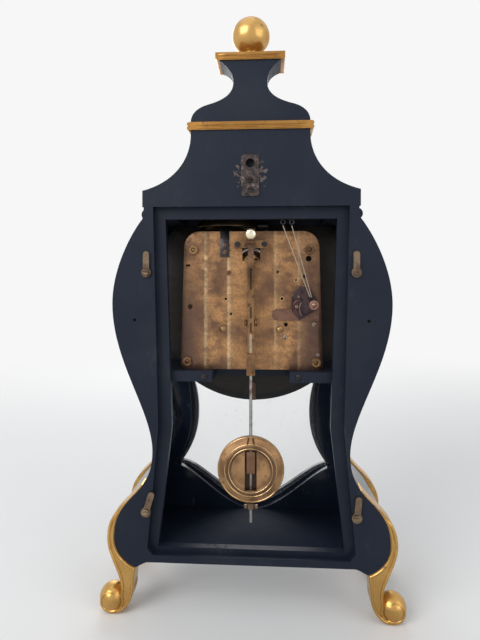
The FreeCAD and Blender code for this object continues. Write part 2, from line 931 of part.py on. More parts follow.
def make_front_frame():
    """The front board with a round hole for the dial and the pendulum window."""
    shape = thick(case_face(False), size.front_board)
    shape = shape.cut(thick(round_face(size.mask_radius), size.front_board))
    shape = shape.cut(thick(window_face(size.frame_lap), size.front_board))
    return shaped("front_frame", shape, 0, front_depth, 0)


def inset_path(path, inset):
    """A flank moved towards the middle."""
    return [[(point[0] - inset, point[1]) for point in part] for part in path]


def wall_face(outer, inner):
    """The strip between two insets of the right flank."""
    outer_path = inset_path(flank_path(), outer)
    inner_path = inset_path(flank_path(), inner)
    back = [list(reversed(part)) for part in reversed(inner_path)]
    foot = [outer_path[-1][-1], inner_path[-1][-1]]
    head = [inner_path[0][0], outer_path[0][0]]
    return path_face(outer_path + [foot] + back + [head])


def light_block(side_depth):
    """The block that a side light takes out of a side wall."""
    deep = side_depth - size.light_margin * 2
    high = light_top - size.light_bottom
    corner = Vector(0, -float(size.light_margin + deep), float(size.light_bottom))
    return Part.makeBox(float(size.belly_half * 2), float(deep), float(high), corner)


def make_sides():
    """The two bent side walls, each with a glazed side light."""
    side_depth = front_depth - frame_depth
    light = light_block(side_depth)
    wall = thick(wall_face(0, size.side_wall), side_depth).cut(light)
    rebate = (size.side_wall - size.glass_thickness) / 2
    pane = thick(wall_face(rebate, rebate + size.glass_thickness), side_depth).common(light)
    mirror = Vector(1, 0, 0)
    shaped("left_side_panel", wall, 0, frame_depth, 0)
    shaped("right_side_panel", wall.mirror(Vector(), mirror), 0, frame_depth, 0)
    panes = Part.makeCompound([pane, pane.mirror(Vector(), mirror)])
    shaped("side_glass", panes, 0, frame_depth, 0)


def make_floor():
    """The base board between the front and rear boards."""
    deep = front_depth - frame_depth
    return box("base_board", -floor_half, frame_depth, size.base_height,
               floor_half * 2, deep, size.floor_thickness)


# Cornice, bonnet and finial: mitred pieces with a flat back


def depth_of(half):
    """How far a mitred piece comes forward where it has a given half width."""
    overhang = (size.case_depth + size.rear_board - size.cap_depth)
    return size.cap_depth + (half - size.cap_half) * overhang / (size.eave_half - size.cap_half)


def mitred(edges, rear, forward):
    """A flat-backed piece whose front and sides share one profile, mitred at the corners."""
    reach = max(float(point[0]) for part in edges for point in part)
    depths = [[(forward(point[0]), point[1]) for point in part] for part in edges]
    longest = max(float(point[0]) for part in depths for point in part)
    front_view = both_sides(profile(edges)).extrude(Vector(0, -longest - float(rear), 0))
    front_view.translate(Vector(0, float(rear), 0))
    low = depths[0][0]
    high = depths[-1][-1]
    behind = 0 - rear
    closing = [[high, (behind, high[1])], [(behind, high[1]), (behind, low[1])],
               [(behind, low[1]), low]]
    side_face = path_face(depths + closing)
    side_face.rotate(Vector(), Vector(0, 0, 1), -90)
    side_view = side_face.extrude(Vector(reach * 2, 0, 0))
    side_view.translate(Vector(-reach, 0, 0))
    return front_view.common(side_view)


def profile(points):
    """A right-hand profile closed to the middle at both ends."""
    first = points[0][0]
    last = points[-1][-1]
    return [[(0, first[1]), first]] + points + [[last, (0, last[1])]]


def bonnet_sides(inset, bottom, top):
    """The hollow-sided slope of the bonnet from a level up to its neck."""
    eave = (size.eave_half - inset, cornice_top + size.eave_height - inset / 2)
    neck = (size.bonnet_top_half - inset, top - size.bonnet_neck)
    eave_out = (between(eave[0], neck[0], BONNET_HANDLE_SHARES[0]),
                between(eave[1], neck[1], BONNET_HANDLE_SHARES[1]))
    neck_in = (neck[0], between(neck[1], eave[1], BONNET_HANDLE_SHARES[2]))
    return [
        [(eave[0], bottom), eave],
        [eave, eave_out, neck_in, neck],
        [neck, (neck[0], top)],
    ]


def make_cornice():
    """The board under the bonnet, its front and side edges rounded, open for the bell."""
    edge = size.cornice_thickness / 2
    half = size.cornice_half
    middle = size.body_top + edge
    round_share = (4 / 3) * (math.sqrt(2) - 1)
    nose = (half + edge, middle)
    lower = [(half, size.body_top), (half + edge * round_share, size.body_top),
             (nose[0], middle - edge * round_share), nose]
    upper = [nose, (nose[0], middle + edge * round_share),
             (half + edge * round_share, cornice_top), (half, cornice_top)]
    shape = mitred_cornice([lower, upper])
    wide = size.cornice_hole_half
    deep = front_depth - frame_depth - size.cornice_front_rail
    corner = Vector(-float(wide), -float(frame_depth + deep), float(size.body_top))
    high = float(size.cornice_thickness)
    hole = Part.makeBox(float(wide * 2), float(deep), high, corner)
    return shaped("cornice_board", shape.cut(hole), 0, 0, 0)


def mitred_cornice(edges):
    """The cornice board, cut off behind the rear board."""
    forward_gain = size.case_depth - size.cornice_half
    shape = mitred(edges, 0, lambda half: half + forward_gain)
    wide = float(size.cornice_half * 4)
    corner = Vector(-wide / 2, -float(frame_depth), float(size.body_top))
    rear = Part.makeBox(wide, float(frame_depth), float(size.cornice_thickness), corner)
    return shape.cut(rear)


def make_bonnet():
    """The hollow bonnet over the cornice."""
    shape = mitred(bonnet_sides(0, cornice_top, band_bottom), 0, depth_of)
    wall = size.bonnet_wall
    inner = bonnet_sides(wall, cornice_top, band_bottom - wall)
    hollow = mitred(inner, -wall, lambda half: depth_of(half + wall) - wall)
    shape = shape.cut(hollow)
    shape = shape.cut(bar_shape(0, 0, hanger_hole_height, size.hanger_hole_radius,
                                size.hanger_pocket_depth))
    for level in hanger_screw_levels():
        shape = shape.cut(bar_shape(0, 0, level, size.small_screw_radius,
                                    size.small_screw_length))
    return shaped("bonnet", shape, 0, 0, 0)


def make_band():
    """The gilt band of two beads between bonnet and dome."""
    bead = size.band_height / 4
    root = size.bonnet_top_half
    crest = root + size.band_proud
    levels = [band_bottom, band_bottom + bead * 2]
    beads = []
    for level in levels:
        swell = (crest, level + bead)
        beads.append([(root, level), (crest, level), swell])
        beads.append([swell, (crest, level + bead * 2), (root, level + bead * 2)])
    path = [quadratic(part) for part in beads]
    return shaped("gilt_band", mitred(path, size.cap_rear_proud, depth_of), 0, 0, 0)


def quadratic(part):
    """A curve with one handle, written with the two handles of a cubic."""
    start, handle, end = part
    share = 2 / 3
    first = (between(start[0], handle[0], share), between(start[1], handle[1], share))
    second = (between(end[0], handle[0], share), between(end[1], handle[1], share))
    return [start, first, second, end]


def make_dome():
    """The domed upper bonnet that draws in to a neck under the cap."""
    foot = (size.bonnet_top_half, dome_bottom)
    shoulder = (size.dome_shoulder_half, dome_bottom + size.dome_shoulder_rise)
    neck = (size.neck_half, dome_bottom + size.neck_rise)
    head = (size.neck_top_half, cap_bottom)
    swell = [foot, (foot[0], between(foot[1], shoulder[1], DOME_HANDLE_SHARES[0])),
             (between(foot[0], shoulder[0], 1 - DOME_HANDLE_SHARES[1]),
              between(foot[1], shoulder[1], DOME_HANDLE_SHARES[2])), shoulder]
    hollow = [shoulder,
              (between(shoulder[0], neck[0], NECK_HANDLE_SHARES[0]),
               between(shoulder[1], neck[1], NECK_HANDLE_SHARES[1])),
              (neck[0], between(neck[1], shoulder[1], NECK_HANDLE_SHARES[2])), neck]
    flare = [neck, (neck[0], between(neck[1], head[1], CAP_HANDLE_SHARES[0])),
             (between(neck[0], head[0], CAP_HANDLE_SHARES[1]),
              between(neck[1], head[1], CAP_HANDLE_SHARES[2])), head]
    return shaped("dome", mitred([swell, hollow, flare], 0, depth_of), 0, 0, 0)


def make_cap():
    """The square cap over the neck, with an ovolo edge."""
    ledge = (size.neck_top_half, cap_bottom)
    crest = (size.cap_half, cap_bottom + size.cap_height / 2)
    ovolo = quadratic([ledge, (crest[0], ledge[1]), crest])
    rim = [crest, (size.cap_half, cap_top)]
    shape = mitred([ovolo, rim], size.cap_rear_proud, depth_of)
    return shaped("pedestal_cap", shape, 0, 0, 0)


def make_ball():
    """The turned ball finial on its collar."""
    seat = size.ball_collar_height + size.ball_neck_height
    radius = size.ball_radius
    neck = size.ball_neck_radius
    sink = radius - math.sqrt(float(radius) ** 2 - float(neck) ** 2)
    middle = seat + radius - sink
    corners = [
        (0, 0),
        (size.ball_collar_radius, 0),
        (size.ball_collar_radius, size.ball_collar_height),
        (neck, size.ball_collar_height),
        (neck, seat),
        (radius, middle, radius),
        (0, middle + radius, radius),
    ]
    return turned("finial_ball", 0, size.cap_depth / 2, cap_top, corners, "XZ_Plane")


# Legs


def level_on(part, level):
    """The parameter at which a falling cubic curve passes a level."""
    curve = Part.BezierCurve()
    curve.setPoles([spot_of(point) for point in part])
    low, high = 0.0, 1.0
    for _ in range(HALVING_COUNT):
        middle = (low + high) / 2
        if curve.value(middle).z > float(level):
            low = middle
        else:
            high = middle
    return curve, low


def leg_shape():
    """The right leg: a strip up the case's edge, an S-shaped leg and a scroll ball."""
    flank = flank_path()
    curve, start = level_on(flank[2], size.strip_start_height)
    top = curve.value(start)
    along = curve.tangent(start)[0]
    curve.segment(start, 1.0)
    radius = size.scroll_radius
    centre = (scroll_half, radius - size.foot_flat)
    tip = flank[3][-1]
    outer_top = (top.x + size.strip_tip_width, size.strip_start_height)
    bulge = (size.bulge_half + size.strip_width, size.bulge_height)
    outer_neck = (leg_neck_outer_half, size.leg_neck_height)
    inner_neck = (leg_neck_inner_half, size.leg_neck_height)
    drop = size.strip_start_height - size.bulge_height
    reach = drop * STRIP_HANDLE_SHARES[0]
    slope = abs(along.x / along.z)
    strip = [outer_top, (outer_top[0] + reach * slope, outer_top[1] - reach),
             (bulge[0], between(bulge[1], outer_top[1], STRIP_HANDLE_SHARES[1])), bulge]
    knee = [bulge, (bulge[0], between(bulge[1], outer_neck[1], LEG_HANDLE_SHARES[0])),
            (outer_neck[0], between(outer_neck[1], bulge[1], LEG_HANDLE_SHARES[1])), outer_neck]
    tuck_end = (between(outer_neck[0], centre[0], SCROLL_TUCK_SHARES[1]), centre[1])
    tuck = [outer_neck, (outer_neck[0], between(outer_neck[1], tuck_end[1], SCROLL_TUCK_SHARES[0])),
            (between(outer_neck[0], tuck_end[0], SCROLL_TUCK_SHARES[0]), tuck_end[1]), tuck_end]
    foot = (centre[0], centre[1] - radius)
    sole = [foot, (between(foot[0], inner_neck[0], SCROLL_HANDLE_SHARES[0]), foot[1]),
            (inner_neck[0], between(inner_neck[1], foot[1], SCROLL_HANDLE_SHARES[1])), inner_neck]
    shank = [inner_neck, (inner_neck[0], between(inner_neck[1], tip[1], LEG_INNER_SHARES[0])),
             (tip[0], between(tip[1], inner_neck[1], LEG_INNER_SHARES[1])), tip]
    inner = [edge_of(flank[3]), curve.toShape()]
    rest = [strip, knee, tuck, [tuck_end, centre], [centre, foot], sole, shank]
    edges = inner + [edge_of(part) for part in rest]
    edges.append(Part.LineSegment(top, spot_of(outer_top)).toShape())
    ordered = Part.__sortEdges__(edges)
    shape = thick(Part.Face(Part.Wire(ordered)), size.leg_depth)
    middle = Vector(float(centre[0]), -float(size.leg_depth) / 2, float(centre[1]))
    shape = shape.fuse(Part.makeSphere(float(radius), middle))
    wide = float(scroll_half + radius * 2)
    deep = float(size.leg_depth + radius * 2)
    below = Part.makeBox(wide, deep * 2, float(radius), Vector(0, -deep, -float(radius)))
    return shape.cut(below).removeSplitter()


def make_legs():
    """Four legs, two at the rear and two at the front."""
    right = leg_shape()
    left = right.mirror(Vector(), Vector(1, 0, 0))
    front = size.case_depth - size.leg_depth
    for name, depth in (("rear", 0), ("front", front)):
        shaped(name + "_left_leg", right, 0, depth, 0)
        shaped(name + "_right_leg", left, 0, depth, 0)


# Screws and rear fittings


def screw_shape(radius, head_radius, head, length):
    """A slotted cheese-head screw, its head behind the seat and its shank in front."""
    shank = bar_shape(0, 0, 0, radius, length)
    cap = bar_shape(0, head, 0, head_radius, head)
    deep = float(head * SCREW_SLOT_SHARES[1])
    wide = float(head_radius * 2)
    narrow = float(head_radius * SCREW_SLOT_SHARES[0])
    corner = Vector(-wide / 2, float(head) - deep, -narrow / 2)
    slot = Part.makeBox(wide, deep, narrow, corner)
    return shank.fuse(cap).removeSplitter().cut(slot)


def screw_group(label, shape, spots):
    """Equal screws at (x, depth, z) spots, as separate solids of one piece."""
    copies = []
    for x, depth, z in spots:
        copy = shape.copy()
        copy.translate(Vector(float(x), -float(depth), float(z)))
        copies.append(copy)
    return shaped(label, Part.makeCompound(copies), 0, 0, 0)


def hanger_screw_levels():
    """The heights of the hanger plate's two screws."""
    return [hanger_screw_height, hanger_screw_height + size.hanger_screw_spacing]


def make_hanger():
    """The iron hanging plate on the bonnet's back."""
    half = size.hanger_half
    length = size.hanger_length
    corner = half / 3
    corners = [
        (half - corner, 0),
        (half, corner, corner),
        (half, length - corner),
        (half - corner, length, corner),
        (-half + corner, length),
        (-half, length - corner, corner),
        (-half, corner),
        (-half + corner, 0, corner),
    ]
    holes = [(0, hanger_hole_height - hanger_bottom, size.hanger_hole_radius)]
    holes += [(0, level - hanger_bottom, size.small_screw_radius)
              for level in hanger_screw_levels()]
    return plate("hanger_plate", 0, -size.hanger_thickness, hanger_bottom,
                 size.hanger_thickness, corners, holes)


def make_buttons():
    """Four turn buttons that hold the rear door, each on its own screw."""
    boss = size.button_boss_radius
    arm = size.button_arm_half
    reach = size.button_reach
    root = Length(math.sqrt(float(boss) ** 2 - float(arm) ** 2),
                  "sqrt(%s ^ 2 - %s ^ 2)" % (boss.text, arm.text))
    corners = [
        (arm, reach),
        (0, reach + arm, arm),
        (-arm, reach, arm),
        (-arm, root),
        (-boss, 0, boss),
        (0, -boss, boss),
        (boss, 0, boss),
        (arm, root, boss),
    ]
    hole = (0, 0, size.button_pivot_radius + size.running_clearance)
    depth = -size.button_gap - size.button_thickness
    for name, (x, z) in button_spots().items():
        turn = FreeCAD.Rotation(Vector(0, 1, 0), BUTTON_ANGLES.get(name, 0))
        plate(name, x, depth, z, size.button_thickness, corners, [hole], turn=turn)
    stand = size.button_gap * 2 + size.button_thickness
    screw = screw_shape(size.button_pivot_radius, size.button_screw_radius,
                        size.button_screw_head, stand + size.button_screw_length)
    spots = [(x, -stand, z) for x, z in button_spots().values()]
    return screw_group("button_screws", screw, spots)


def make_small_screws():
    """The equal small screws of the hanger plate, the seat board and the cock."""
    spots = [(0, -size.hanger_thickness, level) for level in hanger_screw_levels()]
    seat_level = seat_height + size.seat_thickness / 2
    spots += [(side * size.seat_screw_half, frame_depth, seat_level) for side in (-1, 1)]
    spots += [(side * cock_screw_half(), bridge_depth, pivot_height) for side in (-1, 1)]
    screw = screw_shape(size.small_screw_radius, size.small_screw_head_radius,
                        size.small_screw_head, size.small_screw_length)
    return screw_group("small_screws", screw, spots)


# Seat board and dial


def make_seat():
    """The board that carries the movement, notched for the pendulum."""
    deep = dial_board_depth - frame_depth
    board = box("seat_blank", -size.seat_half, frame_depth, seat_height,
                size.seat_half * 2, deep, size.seat_thickness)
    notch = box("seat_notch", -size.notch_half, frame_depth, seat_height,
                size.notch_half * 2, size.notch_depth, size.seat_thickness)
    level = seat_height + size.seat_thickness / 2
    holes = [round_bar("seat_hole", side * size.seat_screw_half, frame_depth, level,
                       size.small_screw_radius, size.small_screw_length) for side in (-1, 1)]
    tools = joined("seat_cuts", [notch] + holes)
    return cut_from("seat_board", board, tools)


def winding_spots():
    """The winding arbors, from the dial's centre."""
    return [(size.barrel_offset, -size.barrel_drop), (-size.barrel_offset, -size.barrel_drop)]


def make_dial():
    """The round dial board, the enamelled dial in front of it and the brass catch behind."""
    hole = (0, 0, dial_board_hole)
    blank = disc("dial_board_blank", 0, dial_board_depth, centre_height,
                 size.dial_board_thickness, size.dial_board_radius, [hole])
    level = size.body_top - size.dial_board_trim
    rise = centre_height + size.dial_board_radius - level
    top = box("dial_board_top", -size.dial_board_radius, dial_board_depth, level,
              size.dial_board_radius * 2, size.dial_board_thickness, rise)
    cut_from("dial_board", blank, top)
    holes = [(0, 0, size.dial_hole_radius)]
    holes += [(x, z, size.winding_hole_radius) for x, z in winding_spots()]
    disc("dial_plate", 0, dial_depth, centre_height, size.dial_thickness, dial_radius, holes)
    bottom = centre_height - size.dial_board_radius
    box("dial_catch", -size.catch_half, dial_board_depth - size.catch_thickness, bottom,
        size.catch_half * 2, size.catch_thickness, size.catch_length)


# Front door


def door_face():
    """The door's outline, which follows the case above its wavy foot."""
    flank = inset_path(flank_path(), size.door_margin)
    flank = [[(x, z - size.door_top_gap) for x, z in part] for part in flank[:2]]
    head = flank[0][0]
    waist = flank[1][-1]
    corner = (door_corner_half, door_corner_height)
    foot = (0, size.window_centre_height - size.door_lap)
    side = [waist, (waist[0], between(waist[1], corner[1], DOOR_SIDE_SHARES[0])),
            (between(corner[0], waist[0], DOOR_SIDE_SHARES[1]),
             between(corner[1], waist[1], DOOR_SIDE_SHARES[2])), corner]
    return both_sides([[(0, head[1]), head]] + flank + [side, wavy_foot(corner, foot)])


def hinge_line():
    """The x and depth of the door's hinge axis."""
    return size.belly_half - size.door_margin + size.hinge_offset, door_depth + size.door_thickness / 2


def hinge_levels():
    """The middle heights of the two hinges."""
    return [belly_height + side * size.hinge_spacing / 2 for side in (-1, 1)]


def upright_shape(x, y, z, radius, length):
    """A plain upright bar, as a shape."""
    return Part.makeCylinder(float(radius), float(length), Vector(float(x), float(y), float(z)))


def block_shape(x, y, z, wide, deep, high):
    """A plain block from its left, front, lower corner, as a shape."""
    corner = Vector(float(x), float(y), float(z))
    return Part.makeBox(float(wide), float(deep), float(high), corner)


def make_door():
    """The glazed front door with two panes and its half of the hinges."""
    glass = size.door_glass_recess
    lap = size.door_glass_lap
    shape = thick(door_face(), size.door_thickness)
    panes = []
    for opening, recess in ((round_face(door_round_radius),
                             round_face(door_round_radius + lap)),
                            (window_face(0), window_face(lap))):
        shape = shape.cut(thick(opening, size.door_thickness))
        shape = shape.cut(thick(recess, glass))
        panes.append(thick(recess, glass))
    axis, depth = hinge_line()
    y = door_depth - depth
    barrel = size.hinge_length / 2 - size.hinge_gap * 2
    for level in hinge_levels():
        bottom = level - barrel / 2
        lug = block_shape(axis - size.hinge_lug_reach, y - size.hinge_lug / 2, bottom,
                          size.hinge_lug_reach, size.hinge_lug, barrel)
        knuckle = upright_shape(axis, y, bottom, size.hinge_barrel_radius, barrel)
        bore = upright_shape(axis, y, bottom, size.hinge_pin_radius + size.running_clearance, barrel)
        shape = shape.fuse([lug, knuckle]).cut(bore)
    shaped("front_door", shape.removeSplitter(), 0, door_depth, 0)
    shaped("door_glass", Part.makeCompound(panes), 0, door_depth, 0)


def make_door_hinges():
    """Two hinges on the front board, each an upright pin between two ears."""
    axis, depth = hinge_line()
    radius = size.hinge_barrel_radius
    ear = size.hinge_length / 4
    deep = depth + radius - size.case_depth
    hinges = []
    for level in hinge_levels():
        bottom = level - size.hinge_length / 2
        pin = upright_shape(axis, size.case_depth - depth, bottom, size.hinge_pin_radius,
                            size.hinge_length)
        ears = [block_shape(axis - radius, -deep, z, radius * 2, deep, ear)
                for z in (bottom, bottom + size.hinge_length - ear)]
        hinges.append(pin.fuse(ears).removeSplitter())
    return shaped("door_hinges", Part.makeCompound(hinges), 0, size.case_depth, 0)


def make_door_fittings():
    """The gilt bezel round the dial glass and the turned door knob."""
    inner = round_face(door_round_radius)
    outer = round_face(door_round_radius + size.bezel_width)
    bezel = thick(outer.cut(inner), size.bezel_proud)
    x = -(size.belly_half - size.door_margin - size.knob_radius * 2)
    radius = size.knob_radius
    stem = bar_shape(x, 0, belly_height, size.knob_stem_radius, size.knob_length - radius)
    middle = Vector(float(x), -float(size.knob_length - radius), float(belly_height))
    knob = stem.fuse(Part.makeSphere(float(radius), middle)).removeSplitter()
    fittings = Part.makeCompound([bezel, knob])
    return shaped("door_fittings", fittings, 0, door_depth + size.door_thickness, 0)


# Movement plates


def rise_of(height):
    """A height above the seat board's top."""
    return height - seat_top


def train_spots():
    """The arbors of the trains, as x and rise above the seat board."""
    centre = size.centre_rise
    return {
        "centre": (0, centre),
        "third": (size.third_offset, centre + size.third_rise),
        "escape": (0, pivot_rise - size.escape_drop),
        "hammer": (-size.hammer_offset, centre + size.hammer_rise),
        "going": (size.barrel_offset, centre - size.barrel_drop),
        "strike": (-size.barrel_offset, centre - size.barrel_drop),
    }


def pillar_spots():
    """The four pillars, as x and rise above the seat board."""
    spots = []
    for side in (-1, 1):
        spots.append((side * pillar_top_half, pillar_top_rise))
        spots.append((side * pillar_bottom_half, size.pillar_bottom_rise))
    return spots


def plate_outline():
    """The outline of both plates, with large round upper corners."""
    low = size.plate_bottom_half
    high = size.plate_top_half
    foot = size.plate_bottom_round
    head = size.plate_top_round
    top = size.plate_height
    return [
        (low - foot, 0),
        (low, foot, foot),
        (high, top - head),
        (high - head, top, head),
        (-high + head, top),
        (-high, top - head, head),
        (-low, foot),
        (-low + foot, 0, foot),
    ]


def plate_holes():
    """The holes that both plates share, for arbors and pillars."""
    holes = [(x, rise, size.pillar_screw_radius) for x, rise in pillar_spots()]
    for name, (x, rise) in train_spots().items():
        radius = size.barrel_arbor_radius if name in ("going", "strike") else size.arbor_radius
        holes.append((x, rise, radius + size.running_clearance))
    return holes


def lever_spot():
    """The repeat lever's pivot, as x and height."""
    return -lever_offset, centre_height - size.lever_drop


def make_plates():
    """The back plate with its window, the front plate with the minute wheel's stud."""
    half = size.window_half
    low = window_rise
    high = window_rise + size.window_height
    window = [(half, low), (half, high), (-half, high), (-half, low)]
    lever_x, lever_z = lever_spot()
    holes = plate_holes()
    holes.append((0, pivot_rise, size.arbor_radius + size.arbor_relief))
    holes.append((spare_hole_half, size.spare_hole_rise, size.spare_hole_radius))
    holes.append((lever_x, rise_of(lever_z), size.lever_stud_radius))
    plate("back_plate", 0, plate_depth, seat_top, size.plate_thickness,
          plate_outline(), holes, [window])
    holes = plate_holes()
    holes.append((0, pivot_rise, size.arbor_radius + size.running_clearance))
    front = plate("front_plate_blank", 0, front_plate_depth, seat_top, size.plate_thickness,
                  plate_outline(), holes)
    x, z = motion_spot()
    length = hour_depth + size.wheel_thickness + size.pinion_lap + size.stud_proud - movement_front
    stud = round_bar("minute_stud", x, movement_front, z, size.arbor_radius, length)
    joined("front_plate", [front, stud])


def make_pillars():
    """Four pillars between the plates and a nut on the rear end of each."""
    pillars = []
    nuts = []
    nut_depth = plate_depth - size.pillar_nut_height
    length = movement_front - nut_depth
    for x, rise in pillar_spots():
        z = seat_top + rise
        bar = round_bar("pillar_bar", x, plate_front, z, size.pillar_radius, size.plate_spacing)
        screw = round_bar("pillar_screw", x, nut_depth, z, size.pillar_screw_radius, length)
        pillars.append(joined("pillar", [bar, screw]))
        nuts.append(disc("pillar_nut", x, nut_depth, z, size.pillar_nut_height,
                         size.pillar_nut_radius, [(0, 0, size.pillar_screw_radius)]))
    group("pillars", pillars)
    group("pillar_nuts", nuts)


# Suspension, pendulum and crutch


def cock_screw_half():
    """How far the cock's screws stand from its middle."""
    return size.cock_half - size.cock_foot / 2


def make_cock():
    """The bridge that carries the pendulum and the rear pivot of the pallets."""
    low = pivot_height - size.cock_height / 2
    bridge = box("cock_bridge", -size.cock_half, bridge_depth, low, size.cock_half * 2,
                 size.cock_thickness, size.cock_height)
    feet = [box("cock_foot", x, bridge_depth + size.cock_thickness, low, size.cock_foot,
                size.cock_stand, size.cock_height)
            for x in (-size.cock_half, size.cock_half - size.cock_foot)]
    hole = round_bar("cock_hole", 0, bridge_depth, pivot_height,
                     size.arbor_radius + size.running_clearance, size.cock_thickness)
    drilled = cut_from("cock_drilled", joined("cock_blank", [bridge] + feet), hole)
    chops_depth = pendulum_depth - size.chops_depth
    chops = box("cock_chops", -size.chops_half, chops_depth, pivot_height + size.chops_gap,
                size.chops_half * 2, bridge_depth - chops_depth, size.chops_height)
    screws = joined("cock_screw_holes", [
        round_bar("cock_screw_hole", side * cock_screw_half(), bridge_depth, pivot_height,
                  size.small_screw_radius, size.small_screw_length) for side in (-1, 1)])
    cut_from("suspension_cock", joined("cock_body", [drilled, chops]), screws)
    length = size.suspension_knob_length
    disc("suspension_knob", 0, chops_depth - length, pivot_height + size.suspension_knob_rise,
         length, size.suspension_knob_radius)


def make_pendulum():
    """The spring, the flat hook rod, the round rod with its block, and the bob."""
    depth = pendulum_depth
    spring_foot = pivot_height - size.spring_length
    box("suspension_spring", -size.spring_half, depth - size.spring_thickness / 2, spring_foot,
        size.spring_half * 2, size.spring_thickness, size.spring_length)
    hook_top = pivot_height - size.hook_drop
    strip = box("hook_strip", -size.upper_rod_half, depth - size.upper_rod_thickness / 2, hook_top,
                size.upper_rod_half * 2, size.upper_rod_thickness, spring_foot - hook_top)
    hook_foot = hook_top - size.hook_length
    hook = box("hook_block", -size.hook_half, depth - size.hook_thickness / 2, hook_foot,
               size.hook_half * 2, size.hook_thickness, size.hook_length)
    joined("hook_rod", [strip, hook])
    bob_height = pivot_height - size.bob_drop
    nut_top = bob_height - size.bob_radius - size.nut_gap
    rod_foot = nut_top - size.nut_height - size.tip_length
    rod = upright_bar("rod_bar", 0, depth, rod_foot, size.rod_radius, hook_foot - rod_foot)
    slot_top = bob_height + size.bob_slot_height / 2
    slot_floor = depth - size.bob_thickness / 2 + size.bob_slot_depth
    block = box("rod_block", -size.bob_block_half, slot_floor - size.bob_block_thickness,
                slot_top - size.bob_block_gap - size.bob_block_height, size.bob_block_half * 2,
                size.bob_block_thickness, size.bob_block_height)
    joined("pendulum_rod", [rod, block])
    levels = [size.bob_thickness * share for share in BOB_LEVEL_SHARES]
    swell = levels[1] - levels[0]
    curve = (size.bob_radius * size.bob_radius + swell * swell) / (swell * 2)
    blank = turned("bob_blank", 0, depth, bob_height, [
        (0, levels[0]),
        (size.bob_radius, levels[1], curve),
        (size.bob_radius, levels[2]),
        (size.bob_ring_outer, levels[3]),
        (size.bob_ring_inner, levels[4], size.bob_ring_curve),
        (0, levels[4]),
    ], "XY_Plane")
    slot = box("bob_slot", -size.bob_slot_half, slot_floor - size.bob_thickness,
               slot_top - size.bob_slot_height, size.bob_slot_half * 2, size.bob_thickness,
               size.bob_slot_height)
    hole = upright_bar("bob_hole", 0, depth, bob_height - size.bob_radius, size.rod_radius,
                       size.bob_radius * 2)
    cut_from("pendulum_bob", blank, joined("bob_cuts", [slot, hole]))
    nut_foot = nut_top - size.nut_height
    core = upright_bar("nut_core", 0, depth, nut_foot, size.nut_radius, size.nut_height)
    wings = box("nut_wings", -size.wing_half, depth - size.wing_thickness / 2, nut_foot,
                size.wing_half * 2, size.wing_thickness, size.wing_height)
    bore = upright_bar("nut_bore", 0, depth, nut_foot, size.rod_radius + size.running_clearance,
                       size.nut_height)
    cut_from("rating_nut", joined("nut_blank", [core, wings]), bore)


def make_crutch():
    """The crutch, whose fork straddles the hook rod."""
    depth = bridge_depth + size.cock_thickness + size.crutch_gap
    thickness = size.crutch_thickness
    hub = disc("crutch_hub", 0, depth, pivot_height, thickness, size.crutch_hub_radius,
               [(0, 0, size.arbor_radius)])
    fork_level = pivot_height - size.crutch_length - size.fork_height / 2
    arm_top = pivot_height - (size.crutch_hub_radius + size.arbor_radius) / 2
    arm = box("crutch_arm", -size.crutch_half, depth, fork_level, size.crutch_half * 2, thickness,
              arm_top - fork_level)
    bar = box("crutch_bar", -size.fork_half, depth, fork_level, size.fork_half * 2, thickness,
              size.fork_height)
    prong_depth = pendulum_depth - size.upper_rod_thickness
    prongs = [box("crutch_prong", x, prong_depth, fork_level, size.fork_prong,
                  depth + thickness - prong_depth, size.fork_height)
              for x in (-size.fork_half, size.fork_half - size.fork_prong)]
    joined("crutch", [hub, arm, bar] + prongs)


# Wheels


def polar(radius, angle):
    """A front-view point by radius and angle."""
    return Vector(float(radius) * math.cos(angle), 0, float(radius) * math.sin(angle))


def closed_face(points):
    """A face with straight sides."""
    return Part.Face(Part.makePolygon(points + points[:1]))


def gear_face(teeth, module, phase):
    """A toothed disc with straight tooth flanks and wide backlash."""
    pitch = 2 * math.pi / teeth
    radius = float(module) * teeth / 2
    root = radius - float(module) * TOOTH_ROOT_SHARE
    tip = radius + float(module) * TOOTH_TIP_SHARE
    points = []
    for index in range(teeth):
        middle = phase + index * pitch
        rings = list(zip((root, radius, tip), TOOTH_WIDTH_SHARES))
        points += [polar(ring, middle - share * pitch) for ring, share in rings]
        points += [polar(ring, middle + share * pitch) for ring, share in reversed(rings)]
    return closed_face(points)


def escape_face(phase):
    """The escape wheel's pointed teeth."""
    pitch = 2 * math.pi / ESCAPE_TEETH
    root = size.escape_radius - size.escape_tooth
    points = []
    for index in range(ESCAPE_TEETH):
        start = phase + index * pitch
        points.append(polar(size.escape_radius, start))
        points += [polar(root, start + share * pitch) for share in ESCAPE_TOOTH_SHARES]
    return closed_face(points)


def module_of(first, second, teeth):
    """The module of two wheels in mesh at two spots."""
    distance = math.hypot(float(second[0]) - float(first[0]), float(second[1]) - float(first[1]))
    return 2 * distance / sum(teeth)


def meshed_phase(first, second, teeth, phase):
    """The phase of a second wheel whose teeth stand in the gaps of the first."""
    angle = math.atan2(float(second[1]) - float(first[1]), float(second[0]) - float(first[0]))
    step = ((angle - phase) * teeth[0] / (2 * math.pi)) % 1
    return angle + math.pi + (step - 0.5) * 2 * math.pi / teeth[1]


def layer(face, depth, start, thickness):
    """A face thickened at a depth that is counted from a start depth."""
    shape = thick(face, thickness)
    shape.translate(Vector(0, -float(depth - start), 0))
    return shape


def crossed(shape, radius, depth, start, thickness):
    """A wheel lightened by round holes."""
    ring = float(radius) * WHEEL_HOLE_SHARES[0]
    hole = float(radius) * WHEEL_HOLE_SHARES[1]
    for index in range(WHEEL_HOLE_COUNT):
        spot = polar(ring, 2 * math.pi * index / WHEEL_HOLE_COUNT)
        shape = shape.cut(bar_shape(spot.x, start - depth, spot.z, hole, thickness))
    return shape


